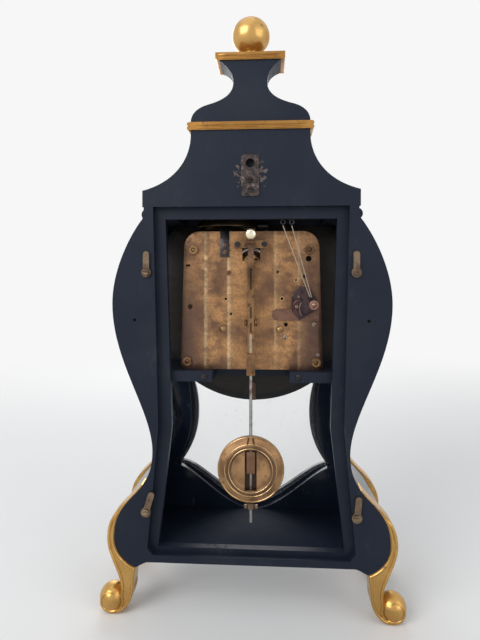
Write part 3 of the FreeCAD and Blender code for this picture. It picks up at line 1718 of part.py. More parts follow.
def wheel_on_arbor(label, spot, wheel, pinion, length):
    """An arbor with a crossed wheel and a pinion, each given as face, depth and radius."""
    x, rise = spot
    start = plate_depth + size.arbor_end_gap
    shape = bar_shape(0, 0, 0, size.arbor_radius, length)
    face, depth, radius = wheel
    rim = layer(face, depth, start, size.wheel_thickness)
    rim = crossed(rim, radius, depth, start, size.wheel_thickness)
    leaves = layer(pinion[0], pinion[1], start, size.pinion_length)
    shape = shape.fuse([rim, leaves]).removeSplitter()
    return shaped(label, shape, x, start, seat_top + rise)


def arbor_length():
    """The length of an arbor that ends inside both plates."""
    return size.plate_spacing + size.plate_thickness * 2 - size.arbor_end_gap * 2


def barrel_shape(face, wheel_depth, drum_depth):
    """A spring barrel with its great wheel and a square-ended winding arbor."""
    start = plate_depth + size.arbor_end_gap
    round_end = movement_front + size.barrel_gap
    square_end = dial_depth - size.winding_end_gap
    shape = bar_shape(0, 0, 0, size.barrel_arbor_radius, round_end - start)
    half = float(size.barrel_arbor_radius) * WINDING_SQUARE_SHARE
    square = block_shape(-half, start - square_end, -half, half * 2, square_end - start, half * 2)
    drum = bar_shape(0, start - drum_depth, 0, size.barrel_radius, size.barrel_length)
    wheel = layer(face, wheel_depth, start, size.wheel_thickness)
    return shape.fuse([square, drum, wheel]).removeSplitter()


def make_trains():
    """The going train from barrel to escape wheel, and the strike barrel."""
    spots = train_spots()
    start = plate_depth + size.arbor_end_gap
    going_teeth = (BARREL_TEETH, CENTRE_PINION_TEETH)
    centre_teeth = (CENTRE_TEETH, THIRD_PINION_TEETH)
    third_teeth = (THIRD_TEETH, ESCAPE_PINION_TEETH)
    going_module = module_of(spots["going"], spots["centre"], going_teeth)
    centre_module = module_of(spots["centre"], spots["third"], centre_teeth)
    third_module = module_of(spots["third"], spots["escape"], third_teeth)
    centre_phase = meshed_phase(spots["going"], spots["centre"], going_teeth, 0)
    third_phase = meshed_phase(spots["centre"], spots["third"], centre_teeth, 0)
    escape_phase = meshed_phase(spots["third"], spots["escape"], third_teeth, 0)
    great = gear_face(BARREL_TEETH, going_module, 0)
    going_wheel = plate_front + size.barrel_gap
    going_drum = going_wheel + size.wheel_thickness
    strike_drum = going_drum + size.barrel_gap
    strike_wheel = strike_drum + size.barrel_length
    for label, wheel, drum in (("going", going_wheel, going_drum),
                               ("strike", strike_wheel, strike_drum)):
        x, rise = spots[label]
        shaped(label + "_barrel", barrel_shape(great, wheel, drum), x, start, seat_top + rise)
    centre_wheel = plate_front + size.centre_wheel_depth
    third_wheel = plate_front + size.third_wheel_depth
    escape_wheel = plate_front + size.escape_wheel_depth
    centre_face = gear_face(CENTRE_TEETH, centre_module, 0)
    third_face = gear_face(THIRD_TEETH, third_module, 0)
    centre_leaves = gear_face(CENTRE_PINION_TEETH, going_module, centre_phase)
    third_leaves = gear_face(THIRD_PINION_TEETH, centre_module, third_phase)
    escape_leaves = gear_face(ESCAPE_PINION_TEETH, third_module, escape_phase)
    reach = minute_hand_depth + size.hand_thickness - start
    wheel_on_arbor("centre_wheel", spots["centre"],
                   (centre_face, centre_wheel, centre_module * CENTRE_TEETH / 2),
                   (centre_leaves, going_wheel - size.pinion_lap), reach)
    wheel_on_arbor("third_wheel", spots["third"],
                   (third_face, third_wheel, third_module * THIRD_TEETH / 2),
                   (third_leaves, centre_wheel - size.pinion_lap), arbor_length())
    wheel_on_arbor("escape_wheel", spots["escape"],
                   (escape_face(0), escape_wheel, size.escape_radius - size.escape_tooth),
                   (escape_leaves, third_wheel - size.pinion_lap), arbor_length())


def make_pallets():
    """The pallets: an arch over the escape wheel, on an arbor between cock and front plate."""
    start = bridge_depth + size.arbor_end_gap
    end = movement_front - size.arbor_end_gap
    drop = size.escape_drop
    middle = spot_of((0, 0 - drop))
    inner = size.escape_radius + size.pallet_gap
    outer = inner + size.pallet_width
    circles = [Part.Face(Part.Wire([Part.makeCircle(float(radius), middle, Vector(0, -1, 0))]))
               for radius in (outer, inner)]
    wide = float(outer * 2)
    level = float(inner / 2 - drop)
    above = closed_face([Vector(-wide, 0, level), Vector(wide, 0, level),
                         Vector(wide, 0, level + wide), Vector(-wide, 0, level + wide)])
    arch = circles[0].cut(circles[1]).common(above)
    arch_depth = plate_front + size.escape_wheel_depth + size.wheel_thickness / 2
    arch_depth = arch_depth - size.pallet_thickness / 2
    arbor = bar_shape(0, 0, 0, size.arbor_radius, end - start)
    hub = bar_shape(0, start - arch_depth, 0, size.pallet_hub_radius, size.pallet_thickness)
    arch = layer(arch, arch_depth, start, size.pallet_thickness)
    shape = arbor.fuse([hub, arch]).removeSplitter()
    return shaped("pallets", shape, 0, start, pivot_height)


# Motion work and hands

cannon_depth = movement_front + size.motion_gap
hour_depth = cannon_depth + size.hour_step
hour_hand_depth = front_depth + size.hand_gap
minute_hand_depth = hour_hand_depth + size.hand_thickness + size.hand_step


def motion_spot():
    """The minute wheel's stud, as x and height."""
    return size.motion_offset, centre_height - size.motion_drop


def hand_shape(length, ring_radius):
    """A tapered hand that points up, with an open ring towards its tip."""
    thickness = size.hand_thickness
    root = size.hand_root_half
    tip = size.hand_tip_half
    blade = closed_face([spot_of((-root, 0)), spot_of((root, 0)), spot_of((tip, length)),
                         spot_of((-tip, length))])
    level = length * HAND_RING_SHARE
    boss = bar_shape(0, 0, 0, size.hand_boss_radius, thickness)
    ring = bar_shape(0, 0, level, ring_radius, thickness)
    eye = bar_shape(0, 0, level, ring_radius - size.hand_ring_wall, thickness)
    return thick(blade, thickness).fuse([boss, ring]).cut(eye)


def piped_hand(label, hand, hand_depth, gear, gear_thickness, start, pipe, bore):
    """A hand, its pipe and its wheel, bored through."""
    end = hand_depth + size.hand_thickness
    tube = bar_shape(0, 0, 0, pipe, end - start)
    hand.translate(Vector(0, -float(hand_depth - start), 0))
    shape = tube.fuse([hand, thick(gear, gear_thickness)])
    shape = shape.cut(bar_shape(0, 0, 0, bore, end - start)).removeSplitter()
    return shaped(label, shape, 0, start, centre_height)


def make_motion():
    """Cannon pinion and minute hand, minute wheel, hour wheel and hour hand."""
    centre = (0, centre_height)
    stud = motion_spot()
    minute_teeth = (CANNON_TEETH, MINUTE_TEETH)
    hour_teeth = (MINUTE_PINION_TEETH, HOUR_TEETH)
    minute_module = module_of(centre, stud, minute_teeth)
    hour_module = module_of(stud, centre, hour_teeth)
    minute_phase = meshed_phase(centre, stud, minute_teeth, 0)
    hour_phase = meshed_phase(stud, centre, hour_teeth, 0)
    fit = size.running_clearance
    pipe = size.cannon_pipe_radius
    minute_hand = hand_shape(size.minute_hand_length, size.hand_ring_radius)
    piped_hand("minute_hand", minute_hand, minute_hand_depth,
               gear_face(CANNON_TEETH, minute_module, 0), size.pinion_length, cannon_depth,
               pipe, size.arbor_radius + fit)
    hour_hand = hand_shape(size.hour_hand_length, size.hand_ring_radius)
    hour_hand.rotate(Vector(), Vector(0, 1, 0), HOUR_HAND_ANGLE)
    piped_hand("hour_hand", hour_hand, hour_hand_depth,
               gear_face(HOUR_TEETH, hour_module, hour_phase), size.wheel_thickness, hour_depth,
               pipe + fit + size.hour_pipe_wall, pipe + fit)
    start = cannon_depth + size.pinion_lap
    end = hour_depth + size.wheel_thickness + size.pinion_lap
    pinion_start = hour_depth - size.pinion_lap
    wheel = thick(gear_face(MINUTE_TEETH, minute_module, minute_phase), size.wheel_thickness)
    wheel = crossed(wheel, minute_module * MINUTE_TEETH / 2, start, start, size.wheel_thickness)
    pinion = layer(gear_face(MINUTE_PINION_TEETH, hour_module, 0), pinion_start, start,
                   end - pinion_start)
    collar = bar_shape(0, 0, 0, pipe, end - start)
    bore = bar_shape(0, 0, 0, size.arbor_radius + fit, end - start)
    shape = wheel.fuse([pinion, collar]).cut(bore).removeSplitter()
    shaped("minute_wheel", shape, stud[0], start, stud[1])


# Bell and hammer


def make_bell():
    """The bell, turned about an upright axis."""
    height = size.bell_height
    wall = size.bell_wall
    radius = size.bell_radius
    crown = size.bell_crown_radius
    post = size.bell_post_radius
    corners = [
        (post, height - wall),
        (crown, height - wall),
        (radius - wall, 0, -(size.bell_curve - wall)),
        (radius, 0),
        (crown, height, size.bell_curve),
        (post, height),
    ]
    turned("bell", size.bell_offset, bell_depth, seat_top + size.bell_lift, corners, "XZ_Plane")


def make_bell_stand():
    """The strip on the back plate, its arm and the post that carries the bell."""
    half = size.stand_half
    strip_depth = plate_depth - size.stand_thickness
    rim = seat_top + size.bell_lift
    arm_top = rim - size.bell_clear
    x = size.bell_offset
    strip = box("stand_strip", x - half, strip_depth, arm_top - size.stand_drop, half * 2,
                size.stand_thickness, size.stand_drop)
    arm = box("stand_arm", x - half, strip_depth, arm_top - size.stand_thickness, half * 2,
              bell_depth + half - strip_depth, size.stand_thickness)
    seat = rim + size.bell_height - size.bell_wall
    collar = upright_bar("stand_collar", x, bell_depth, arm_top, size.bell_post_collar,
                         seat - arm_top)
    top = rim + size.bell_height
    post = upright_bar("stand_post", x, bell_depth, arm_top, size.bell_post_radius,
                       top + size.bell_nut_height - arm_top)
    nut = upright_bar("stand_nut", x, bell_depth, top, size.bell_nut_radius,
                      size.bell_nut_height)
    joined("bell_stand", [strip, arm, collar, post, nut])


def make_hammer():
    """The hammer, which stands clear of the bell's rim on an arbor between the plates."""
    x, rise = train_spots()["hammer"]
    start = plate_depth + size.arbor_end_gap
    head_end = size.bell_offset - size.bell_radius - size.hammer_gap
    head_start = head_end - size.hammer_head_length
    level = size.bell_lift + size.bell_wall - rise
    y = start - bell_depth
    end = spot_of(((head_start + head_end) / 2 - x, level))
    across = Vector(-end.z, 0, end.x).normalize() * float(size.hammer_arm_half)
    arm = closed_face([-across, across, end + across, end - across])
    thickness = size.hammer_arm_thickness
    arm = layer(arm, bell_depth - thickness / 2, start, thickness)
    base = Vector(float(head_start - x), float(y), float(level))
    head = Part.makeCylinder(float(size.hammer_head_radius), float(size.hammer_head_length),
                             base, Vector(1, 0, 0))
    arbor = bar_shape(0, 0, 0, size.arbor_radius, arbor_length())
    shape = arbor.fuse([arm, head]).removeSplitter()
    shaped("hammer", shape, x, start, seat_top + rise)


# Repeat work


def make_lever_cock():
    """The brass strip in front of the repeat lever, round at its inner end."""
    half = size.lever_cock_half
    length = size.lever_cock_right - size.lever_cock_left - half
    corners = [
        (length, -half),
        (length + half, 0, half),
        (length, half, half),
        (0, half),
        (0, -half),
    ]
    depth = plate_depth - size.lever_cock_thickness
    plate("lever_cock", -size.lever_cock_right, depth, centre_height - size.lever_cock_drop,
          size.lever_cock_thickness, corners)


def lever_depth():
    """The depth of the repeat lever's rear face."""
    return plate_depth - size.lever_cock_thickness - size.lever_gap - size.lever_thickness


def make_lever():
    """The repeat lever with its cord pin, and the screw it turns on."""
    x, z = lever_spot()
    hub = size.lever_hub_radius
    reach = size.lever_reach
    corners = [(0, -hub, hub)]
    corners += [(reach * across, reach * up) for across, up in LEVER_OUTLINE_SHARES]
    corners += [(-hub, 0)]
    hole = (0, 0, size.lever_stud_radius + size.running_clearance)
    depth = lever_depth()
    blade = plate("lever_blade", x, depth, z, size.lever_thickness, corners, [hole])
    pin = round_bar("lever_pin", x + size.lever_pin_offset, depth - size.lever_pin_length,
                    z + size.lever_pin_rise, size.lever_pin_radius, size.lever_pin_length)
    joined("repeat_lever", [blade, pin])
    seat = depth - size.lever_gap
    stud = round_bar("lever_stud", x, seat, z, size.lever_stud_radius, plate_front - seat)
    head = round_bar("lever_head", x, seat - size.lever_screw_head, z, size.lever_screw_radius,
                     size.lever_screw_head)
    joined("lever_screw", [stud, head])


def eyelet_spots():
    """The middles of the two cord eyelets, as x, depth and height."""
    depth = size.rear_board + size.rebate_depth / 2
    z = size.body_top - size.staple_radius - size.staple_wire
    return [(-size.near_staple_offset, depth, z), (-size.far_staple_offset, depth, z)]


def make_cords():
    """Two cords from the lever's pin to the eyelets under the top rail."""
    eyelets = []
    cords = []
    lever_x, lever_z = lever_spot()
    pin_x = lever_x + size.lever_pin_offset
    pin_depth = lever_depth() - size.lever_pin_length / 2
    pin_z = lever_z + size.lever_pin_rise + size.lever_pin_radius + size.cord_gap + size.cord_radius
    shift = size.cord_radius + size.cord_gap
    for (x, depth, z), side in zip(eyelet_spots(), (1, -1)):
        eyelet = doc.addObject("Part::Torus", "cord_eyelet")
        bind(eyelet, "Radius1", size.staple_radius)
        bind(eyelet, "Radius2", size.staple_wire)
        eyelets.append(place(eyelet, x, depth, z, FACING_FRONT))
        foot = z - size.staple_radius - size.staple_wire - size.cord_gap - size.cord_radius
        low = Vector(float(pin_x + shift * side), -float(pin_depth), float(pin_z))
        high = Vector(float(x), -float(depth), float(foot))
        run = high - low
        cords.append(Part.makeCylinder(float(size.cord_radius), run.Length, low, run))
    group("cord_eyelets", eyelets)
    shaped("repeat_cord", Part.makeCompound(cords), 0, 0, 0)


# Build and write every piece

make_rear_frame()
make_front_frame()
make_sides()
make_floor()
make_cornice()
make_bonnet()
make_band()
make_dome()
make_cap()
make_ball()
make_hanger()
make_legs()
make_buttons()
make_small_screws()
make_seat()
make_dial()
make_door()
make_door_hinges()
make_door_fittings()
make_plates()
make_pillars()
make_cock()
make_pendulum()
make_crutch()
make_trains()
make_pallets()
make_motion()
make_bell()
make_bell_stand()
make_hammer()
make_lever_cock()
make_lever()
make_cords()
doc.recompute()

NODES = [
    "rear_frame", "front_frame", "left_side_panel", "right_side_panel", "side_glass",
    "base_board", "cornice_board", "bonnet", "gilt_band", "dome", "pedestal_cap",
    "finial_ball", "hanger_plate", "rear_left_leg", "rear_right_leg", "front_left_leg",
    "front_right_leg", "button_screws", "small_screws", "seat_board", "dial_board",
    "dial_plate", "dial_catch", "front_door", "door_glass", "door_fittings", "door_hinges",
    "back_plate", "front_plate", "pillars", "pillar_nuts", "suspension_cock",
    "suspension_knob", "suspension_spring", "hook_rod", "pendulum_rod", "pendulum_bob",
    "rating_nut", "crutch", "pallets", "going_barrel", "strike_barrel", "centre_wheel",
    "third_wheel", "escape_wheel", "minute_hand", "hour_hand", "minute_wheel", "bell",
    "bell_stand", "hammer", "lever_cock", "repeat_lever", "lever_screw", "cord_eyelets",
    "repeat_cord", "upper_left_button", "upper_right_button", "lower_left_button",
    "lower_right_button",
]

for item in doc.Objects:
    faults = [state for state in item.State if state in ("Invalid", "Error")]
    if faults:
        raise RuntimeError("%s did not recompute" % item.Label)

os.makedirs("parts", exist_ok=True)
for node in NODES:
    found = doc.getObjectsByLabel(node)
    if len(found) != 1:
        raise RuntimeError("%d pieces are called %s" % (len(found), node))
    shape = found[0].Shape
    if shape.isNull() or not shape.isValid():
        raise RuntimeError("%s has no valid shape" % node)
    shape.exportStep("parts/%s.step" % node)
print("wrote %d pieces" % len(NODES))
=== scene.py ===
import math
import random

import bmesh
import bpy
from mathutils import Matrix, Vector


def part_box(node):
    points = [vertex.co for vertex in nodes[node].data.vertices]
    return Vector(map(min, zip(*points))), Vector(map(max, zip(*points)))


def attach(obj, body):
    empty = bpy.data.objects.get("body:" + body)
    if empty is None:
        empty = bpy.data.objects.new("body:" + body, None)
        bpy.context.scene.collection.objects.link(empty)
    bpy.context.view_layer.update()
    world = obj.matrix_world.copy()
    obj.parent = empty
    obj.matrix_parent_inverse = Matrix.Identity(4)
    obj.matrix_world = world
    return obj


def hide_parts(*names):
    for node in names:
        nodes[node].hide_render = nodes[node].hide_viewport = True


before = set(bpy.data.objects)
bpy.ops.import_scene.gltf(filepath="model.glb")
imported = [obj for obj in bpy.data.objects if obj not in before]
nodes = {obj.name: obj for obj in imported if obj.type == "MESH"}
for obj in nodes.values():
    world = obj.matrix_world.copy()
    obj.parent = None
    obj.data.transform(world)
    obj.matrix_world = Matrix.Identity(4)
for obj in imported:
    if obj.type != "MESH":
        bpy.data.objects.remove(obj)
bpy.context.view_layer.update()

# The clock is seen from its open back. +Y is the back, -Y the dial side, +Z is up. Lengths are in
# metres where no other unit is named, and angles are in degrees.

SEED = 7
random.seed(SEED)

MM = 0.001
BACK = Vector((0, 1, 0))
LEGS = ("rear_left_leg", "rear_right_leg", "front_left_leg", "front_right_leg")
BUTTONS = ("upper_left_button", "upper_right_button", "lower_left_button", "lower_right_button")

# How far marks stand proud of a face, half the thickness of a painted bar, and the distances under
# which the points of an added piece and of a CAD piece are joined
SKIN = 0.00003
THIN = 0.00006
MERGE = 0.0000002
WELD = 0.000004

# Edges sharper than these stay crisp, on CAD pieces and added ones. Edges sharper than the third
# are softened in a few steps, and large faces keep their own normals by a weight.
CAD_CREASE = 32
ADDED_CREASE = 35
SOFT_CREASE = 38
SOFT_STEPS = 3
FACE_WEIGHT = 80

# Points round a turned piece, a large ridge, the dial's track, a low ring, a small screw and a tube
TURN_STEPS = 40
RING_STEPS = 96
TRACK_STEPS = 120
LOW_RING_STEPS = 32
SCREW_STEPS = 28
TUBE_SIDES = 10
# Points over which a tube swells at either end
TAPER_STEPS = 5


# Colours, as linear red, green and blue. A pair holds the two tones that a pattern runs between.

PAINT = ((0.0046, 0.0078, 0.0172), (0.0116, 0.0168, 0.0312))
PAINT_HAZE = (0.0185, 0.0230, 0.0330)
PAINT_SCUFF = (0.040, 0.042, 0.050)
PAINT_DUST = (0.10, 0.10, 0.10)
BARE_WOOD = ((0.070, 0.048, 0.040), (0.21, 0.17, 0.155))
GILT_GROUND = (0.155, 0.062, 0.026)
PLATE_TONES = ((0.150, 0.071, 0.036), (0.500, 0.258, 0.102))
PLATE_WASH = (0.460, 0.265, 0.118)
PLATE_LINE = (0.720, 0.520, 0.290)
PLATE_SHADE = (0.080, 0.042, 0.038)
PLATE_STREAK = (0.130, 0.074, 0.040)
PLATE_GRIT = (0.085, 0.045, 0.026)
PLATE_SPECK = (0.030, 0.018, 0.013)
BOB_TONES = ((0.190, 0.100, 0.048), (0.420, 0.245, 0.115))
BOB_GROOVE = (0.085, 0.048, 0.027)
BOB_STAIN = (0.090, 0.050, 0.030)
# Painted shade on the sunk floor of the bob's slot
BOB_SLOT_SHADE = (0.040, 0.021, 0.014)
ROD_TONES = ((0.34, 0.33, 0.32), (0.15, 0.12, 0.10))
BLOCK_TONES = ((0.110, 0.056, 0.036), (0.260, 0.148, 0.088))
RUST_TONES = ((0.022, 0.019, 0.020), (0.075, 0.050, 0.044))
RUBBED_IRON = (0.40, 0.34, 0.31)
BOARD_TONES = ((0.010, 0.008, 0.007), (0.030, 0.022, 0.017))
BOARD_RIM = (0.005, 0.006, 0.008)
GLASS_TONE = (0.86, 0.90, 0.89)
ENAMEL_TONES = ((0.80, 0.78, 0.71), (0.88, 0.87, 0.82))
ENAMEL_HAIR = (0.45, 0.40, 0.32)
CORD_TONES = ((0.26, 0.215, 0.16), (0.50, 0.43, 0.34))
# Dark print of the dial figures, also used as painted shade in slots and holes
INK_AND_SHADE_TONES = ((0.006, 0.006, 0.010), (0.022, 0.021, 0.026))
# Painted shade for the unlit insides of holes and slots
HOLE_SHADE_TONES = ((0.0020, 0.0016, 0.0014), (0.0060, 0.0048, 0.0042))
FLOOR_TONES = ((0.80, 0.80, 0.795), (0.82, 0.82, 0.815))
BLACK = (0.0, 0.0, 0.0)
WHITE = (1.0, 1.0, 1.0)
# What is left of each part of a steel's colour under tarnish
TARNISH_SHARES = (0.55, 0.42, 0.34)


# Sizes in the materials

# How strongly surfaces mirror head-on: any surface, the case's paint, its inside floor and holes
PLAIN_SPECULAR = 0.5
CASE_SPECULAR = 0.21
DEEP_SPECULAR = 0.06
# The painted shade in holes mirrors almost nothing
HOLE_SHADE_SPECULAR = 0.05
# Bright bands on the plates: their spacing, where one lies, and how many are counted from beyond
# the plate's edge, so that the count stays positive
BAND_STEP = 0.0247
BAND_SHIFT = 0.0122
BANDS_BEFORE = 10
# The bob's slot: half its width, the step from the crown to its floor, and the soft edge of each
BOB_SLOT_HALF = 0.0058
BOB_SLOT_STEP = 0.0020
SLOT_SIDE_BLUR = 0.0005
SLOT_FLOOR_BLUR = 0.001
# Turning lines on the bob, as radians of a wave from its middle to its edge
TURNING_LINES = 260.0
# The brown block on the rod, by its heights, and its soft ends
BLOCK_BOTTOM = 0.1404
BLOCK_TOP = 0.1626
BLOCK_BLUR = 0.0004
# The black rim of the dial board and its soft edge
RIM_WIDTH = 0.006
RIM_BLUR = 0.002
# The cord's twist, as radians of a wave per metre
CORD_TWIST = 5200.0


# Materials


class Look:
    """Builds one material's node tree a step at a time."""

    def __init__(self, name):
        self.material = bpy.data.materials.new(name)
        self.material.use_nodes = True
        self.tree = self.material.node_tree
        self.surface = self.tree.nodes["Principled BSDF"]
        self.spot = self.node("ShaderNodeTexCoord").outputs["Object"]

    def node(self, kind, inputs=None, **settings):
        """A new node with some of its settings and inputs."""
        item = self.tree.nodes.new(kind)
        for key, value in settings.items():
            setattr(item, key, value)
        self.fill(item, inputs or {})
        return item

    def fill(self, item, inputs):
        """Links inputs of a node to sockets, or gives them plain values."""
        for key, value in inputs.items():
            if isinstance(value, bpy.types.NodeSocket):
                self.tree.links.new(value, item.inputs[key])
            else:
                item.inputs[key].default_value = value

    def stretched(self, stretch):
        """The object's own coordinates, scaled on each axis."""
        inputs = {"Vector": self.spot, "Scale": stretch}
        return self.node("ShaderNodeMapping", inputs).outputs["Vector"]

    def noise(self, scale, detail=4.0, stretch=None):
        """A cloudy pattern; scale counts its lumps per metre."""
        spot = self.stretched(stretch) if stretch else self.spot
        inputs = {"Vector": spot, "Scale": scale, "Detail": detail}
        return self.node("ShaderNodeTexNoise", inputs).outputs["Fac"]

    def cells(self, scale):
        """The distance to the nearest of many scattered points."""
        inputs = {"Vector": self.spot, "Scale": scale}
        return self.node("ShaderNodeTexVoronoi", inputs).outputs["Distance"]

    def level(self, value, start, end, low=0.0, high=1.0):
        """Value eased from one range to another."""
        inputs = {"Value": value, "From Min": start, "From Max": end, "To Min": low, "To Max": high}
        item = self.node("ShaderNodeMapRange", inputs, interpolation_type="SMOOTHSTEP")
        return item.outputs["Result"]

    def maths(self, operation, first, second=0.0):
        """An operation on sockets or plain numbers."""
        item = self.node("ShaderNodeMath", {0: first, 1: second}, operation=operation)
        return item.outputs["Value"]

    def times(self, first, second):
        return self.maths("MULTIPLY", first, second)

    def plus(self, first, second):
        return self.maths("ADD", first, second)

    def axis(self, name):
        """One of the object's own coordinates."""
        return self.node("ShaderNodeSeparateXYZ", {"Vector": self.spot}).outputs[name]

    def distance(self, point):
        """The distance from a point of the shared frame."""
        item = self.node("ShaderNodeVectorMath", {0: self.spot, 1: point}, operation="DISTANCE")
        return item.outputs["Value"]

    def tint(self, factor, first, second):
        """A mix of two colours."""
        inputs = {"Factor": factor, "A": colour(first), "B": colour(second)}
        return self.node("ShaderNodeMix", inputs, data_type="RGBA").outputs["Result"]

    def over(self, base, mask, share, tone):
        """A tone laid over a base where a mask is high, up to a share."""
        return self.tint(self.times(mask, share), base, tone)

    def paint(self, base, roughness, metallic=0.0, specular=PLAIN_SPECULAR):
        """Sets what the surface is like."""
        self.fill(self.surface, {"Base Color": colour(base), "Roughness": roughness,
                                 "Metallic": metallic, "Specular IOR Level": specular})

    def bump(self, height, distance, strength=1.0):
        """Raises the surface by a pattern, up to a distance."""
        inputs = {"Height": height, "Distance": distance, "Strength": strength}
        item = self.node("ShaderNodeBump", inputs)
        self.fill(self.surface, {"Normal": item.outputs["Normal"]})


def colour(value):
    """Three numbers as an opaque colour; a socket passes through."""
    if isinstance(value, tuple) and len(value) == 3:
        return (*value, 1.0)
    return value


def darker(tone, share):
    """A share of a tone's light."""
    return tuple(value * share for value in tone)


def finish(steps):
    """Makes a look's steps a function from a name to a material."""

    def make(name, *values, **named):
        look = Look(name)
        steps(look, *values, **named)
        return look.material

    return make


@finish
def black_case(look, gloss, chips=None, specular=CASE_SPECULAR):
    """Blue-black paint on wood: scuffs, faint grain, and chips round a worn spot."""
    cloud = look.noise(24, 5)
    grain = look.noise(140, 4, (1.0, 1.0, 0.55))
    scratch = look.noise(110, 6, (2.2, 2.2, 0.9))
    scuff = look.level(look.times(scratch, cloud), 0.31, 0.43)
    dust = look.level(look.noise(460, 2), 0.66, 0.78)
    haze = look.level(look.noise(11, 4), 0.46, 0.68)
    base = look.tint(cloud, *PAINT)
    base = look.over(base, haze, 0.40, PAINT_HAZE)
    base = look.over(base, scuff, 0.28, PAINT_SCUFF)
    base = look.over(base, dust, 0.10, PAINT_DUST)
    rough = look.level(look.plus(grain, scuff), 0.3, 1.4, *gloss)
    height = look.plus(grain, look.times(scratch, 0.5))
    if chips:
        near = look.level(look.distance(chips), 0.013, 0.028, 1.0, 0.0)
        flake = look.plus(look.noise(230, 5), look.times(near, 0.27))
        chip = look.level(flake, 0.78, 0.82)
        base = look.over(base, chip, 0.8, look.tint(look.noise(300, 3), *BARE_WOOD))
        rough = look.maths("MAXIMUM", rough, look.times(chip, 0.85))
        height = look.maths("SUBTRACT", height, look.times(chip, 1.6))
    look.paint(base, rough, specular=specular)
    look.bump(height, 0.00010, 0.45)


@finish
def gilding(look, dark, bright):
    """Soft old gilding with red-brown thin spots and small dents."""
    cloud = look.noise(38, 5)
    rub = look.level(look.noise(150, 6), 0.645, 0.72)
    dull = look.level(look.noise(70, 4), 0.45, 0.70)
    base = look.tint(cloud, dark, bright)
    base = look.over(base, dull, 0.35, darker(dark, 0.82))
    base = look.over(base, rub, 0.55, GILT_GROUND)
    rough = look.level(look.plus(cloud, dull), 0.3, 1.4, 0.24, 0.46)
    rough = look.plus(rough, look.times(rub, 0.18))
    look.paint(base, rough, look.level(rub, 0.0, 1.0, 0.95, 0.70))
    look.bump(look.noise(85, 5), 0.0005, 0.30)


@finish
def aged_brass(look, dark, bright, shine, stain=0.5):
    """Brass under a brown film, with stains and polish marks."""
    cloud = look.noise(55, 6)
    spots = look.level(look.noise(240, 4), 0.56, 0.68)
    marks = look.noise(300, 3, (1.0, 1.0, 0.15))
    base = look.tint(look.level(cloud, 0.32, 0.66), dark, bright)
    base = look.over(base, spots, stain, darker(dark, 0.35))
    rough = look.level(look.plus(marks, spots), 0.2, 1.5, *shine)
    look.paint(base, rough, 0.92)
    look.bump(look.plus(marks, cloud), 0.00006, 0.5)


@finish
def plate_brass(look):
    """The movement's plates: brown brass with bright upright bands and dark ends."""
    across = look.axis("X")
    aside = look.maths("ABSOLUTE", across)
    shifted = look.plus(across, BAND_STEP * BANDS_BEFORE - BAND_SHIFT)
    phase = look.maths("FRACT", look.maths("DIVIDE", shifted, BAND_STEP))
    edge = look.level(phase, 0.50, 0.56, 1.0, 0.0)
    fade = look.level(across, -0.024, 0.004, 0.40, 1.0)
    ramp = look.times(look.level(phase, 0.34, 0.50), edge)
    line = look.times(ramp, fade)
    wash = look.times(look.level(phase, 0.0, 0.45), edge)
    broken = look.level(look.noise(60, 5, (1.0, 1.0, 0.45)), 0.30, 0.55, 0.35, 1.0)
    cloud = look.noise(38, 7)
    outer = look.level(aside, 0.004, 0.056, 0.15, 1.0)
    blot = look.times(look.level(look.noise(110, 9), 0.47, 0.60), outer)
    ends = look.level(aside, 0.036, 0.068)
    low = look.level(look.axis("Z"), 0.280, 0.365, 1.0, 0.55)
    corners = look.times(look.times(ends, low), 0.88)
    shade = look.maths("MAXIMUM", corners, look.times(blot, 0.55))
    streak = look.level(look.noise(130, 6, (0.35, 1.0, 1.6)), 0.42, 0.62)
    grit = look.level(look.noise(420, 6), 0.36, 0.64)
    speck = look.level(look.cells(240), 0.05, 0.11, 1.0, 0.0)
    base = look.tint(look.level(cloud, 0.30, 0.66), *PLATE_TONES)
    base = look.over(base, wash, 0.45, PLATE_WASH)
    base = look.over(base, look.times(line, broken), 0.85, PLATE_LINE)
    base = look.tint(shade, base, PLATE_SHADE)
    base = look.over(base, streak, 0.30, PLATE_STREAK)
    base = look.over(base, grit, 0.32, PLATE_GRIT)
    base = look.over(base, speck, 0.55, PLATE_SPECK)
    look.paint(base, look.level(look.plus(cloud, blot), 0.3, 1.4, 0.42, 0.64), 0.55)
    look.bump(look.plus(cloud, look.times(line, 0.4)), 0.00012, 0.45)


@finish
def ring_brass(look, middle, radius, slot_half, slot_level):
    """The bob: brass turned in rings, browned in the groove, with painted shade in its slot."""
    reach = look.maths("DIVIDE", look.distance(middle), radius)
    rings = look.maths("SINE", look.times(reach, TURNING_LINES))
    cloud = look.noise(60, 6)
    inside = look.level(reach, 0.56, 0.63)
    outside = look.level(reach, 0.73, 0.80, 1.0, 0.0)
    blot = look.level(look.noise(120, 6), 0.56, 0.70)
    aside = look.maths("ABSOLUTE", look.axis("X"))
    beside = look.level(aside, slot_half, slot_half + SLOT_SIDE_BLUR, 1.0, 0.0)
    deep = look.level(look.axis("Y"), slot_level - SLOT_FLOOR_BLUR, slot_level, 1.0, 0.0)
    near = look.level(reach, 0.66, 0.68, 1.0, 0.0)
    base = look.tint(look.level(cloud, 0.32, 0.66), *BOB_TONES)
    base = look.over(base, look.times(inside, outside), 0.72, BOB_GROOVE)
    base = look.over(base, blot, 0.55, BOB_STAIN)
    # Painted shade: where the slot's floor sinks below the crown, inside the inner ridge, the brass
    # is tinted near black
    base = look.tint(look.times(look.times(beside, deep), near), base, BOB_SLOT_SHADE)
    look.paint(base, look.level(cloud, 0.3, 0.7, 0.34, 0.54), 0.75)
    look.bump(look.plus(rings, cloud), 0.00004, 0.5)


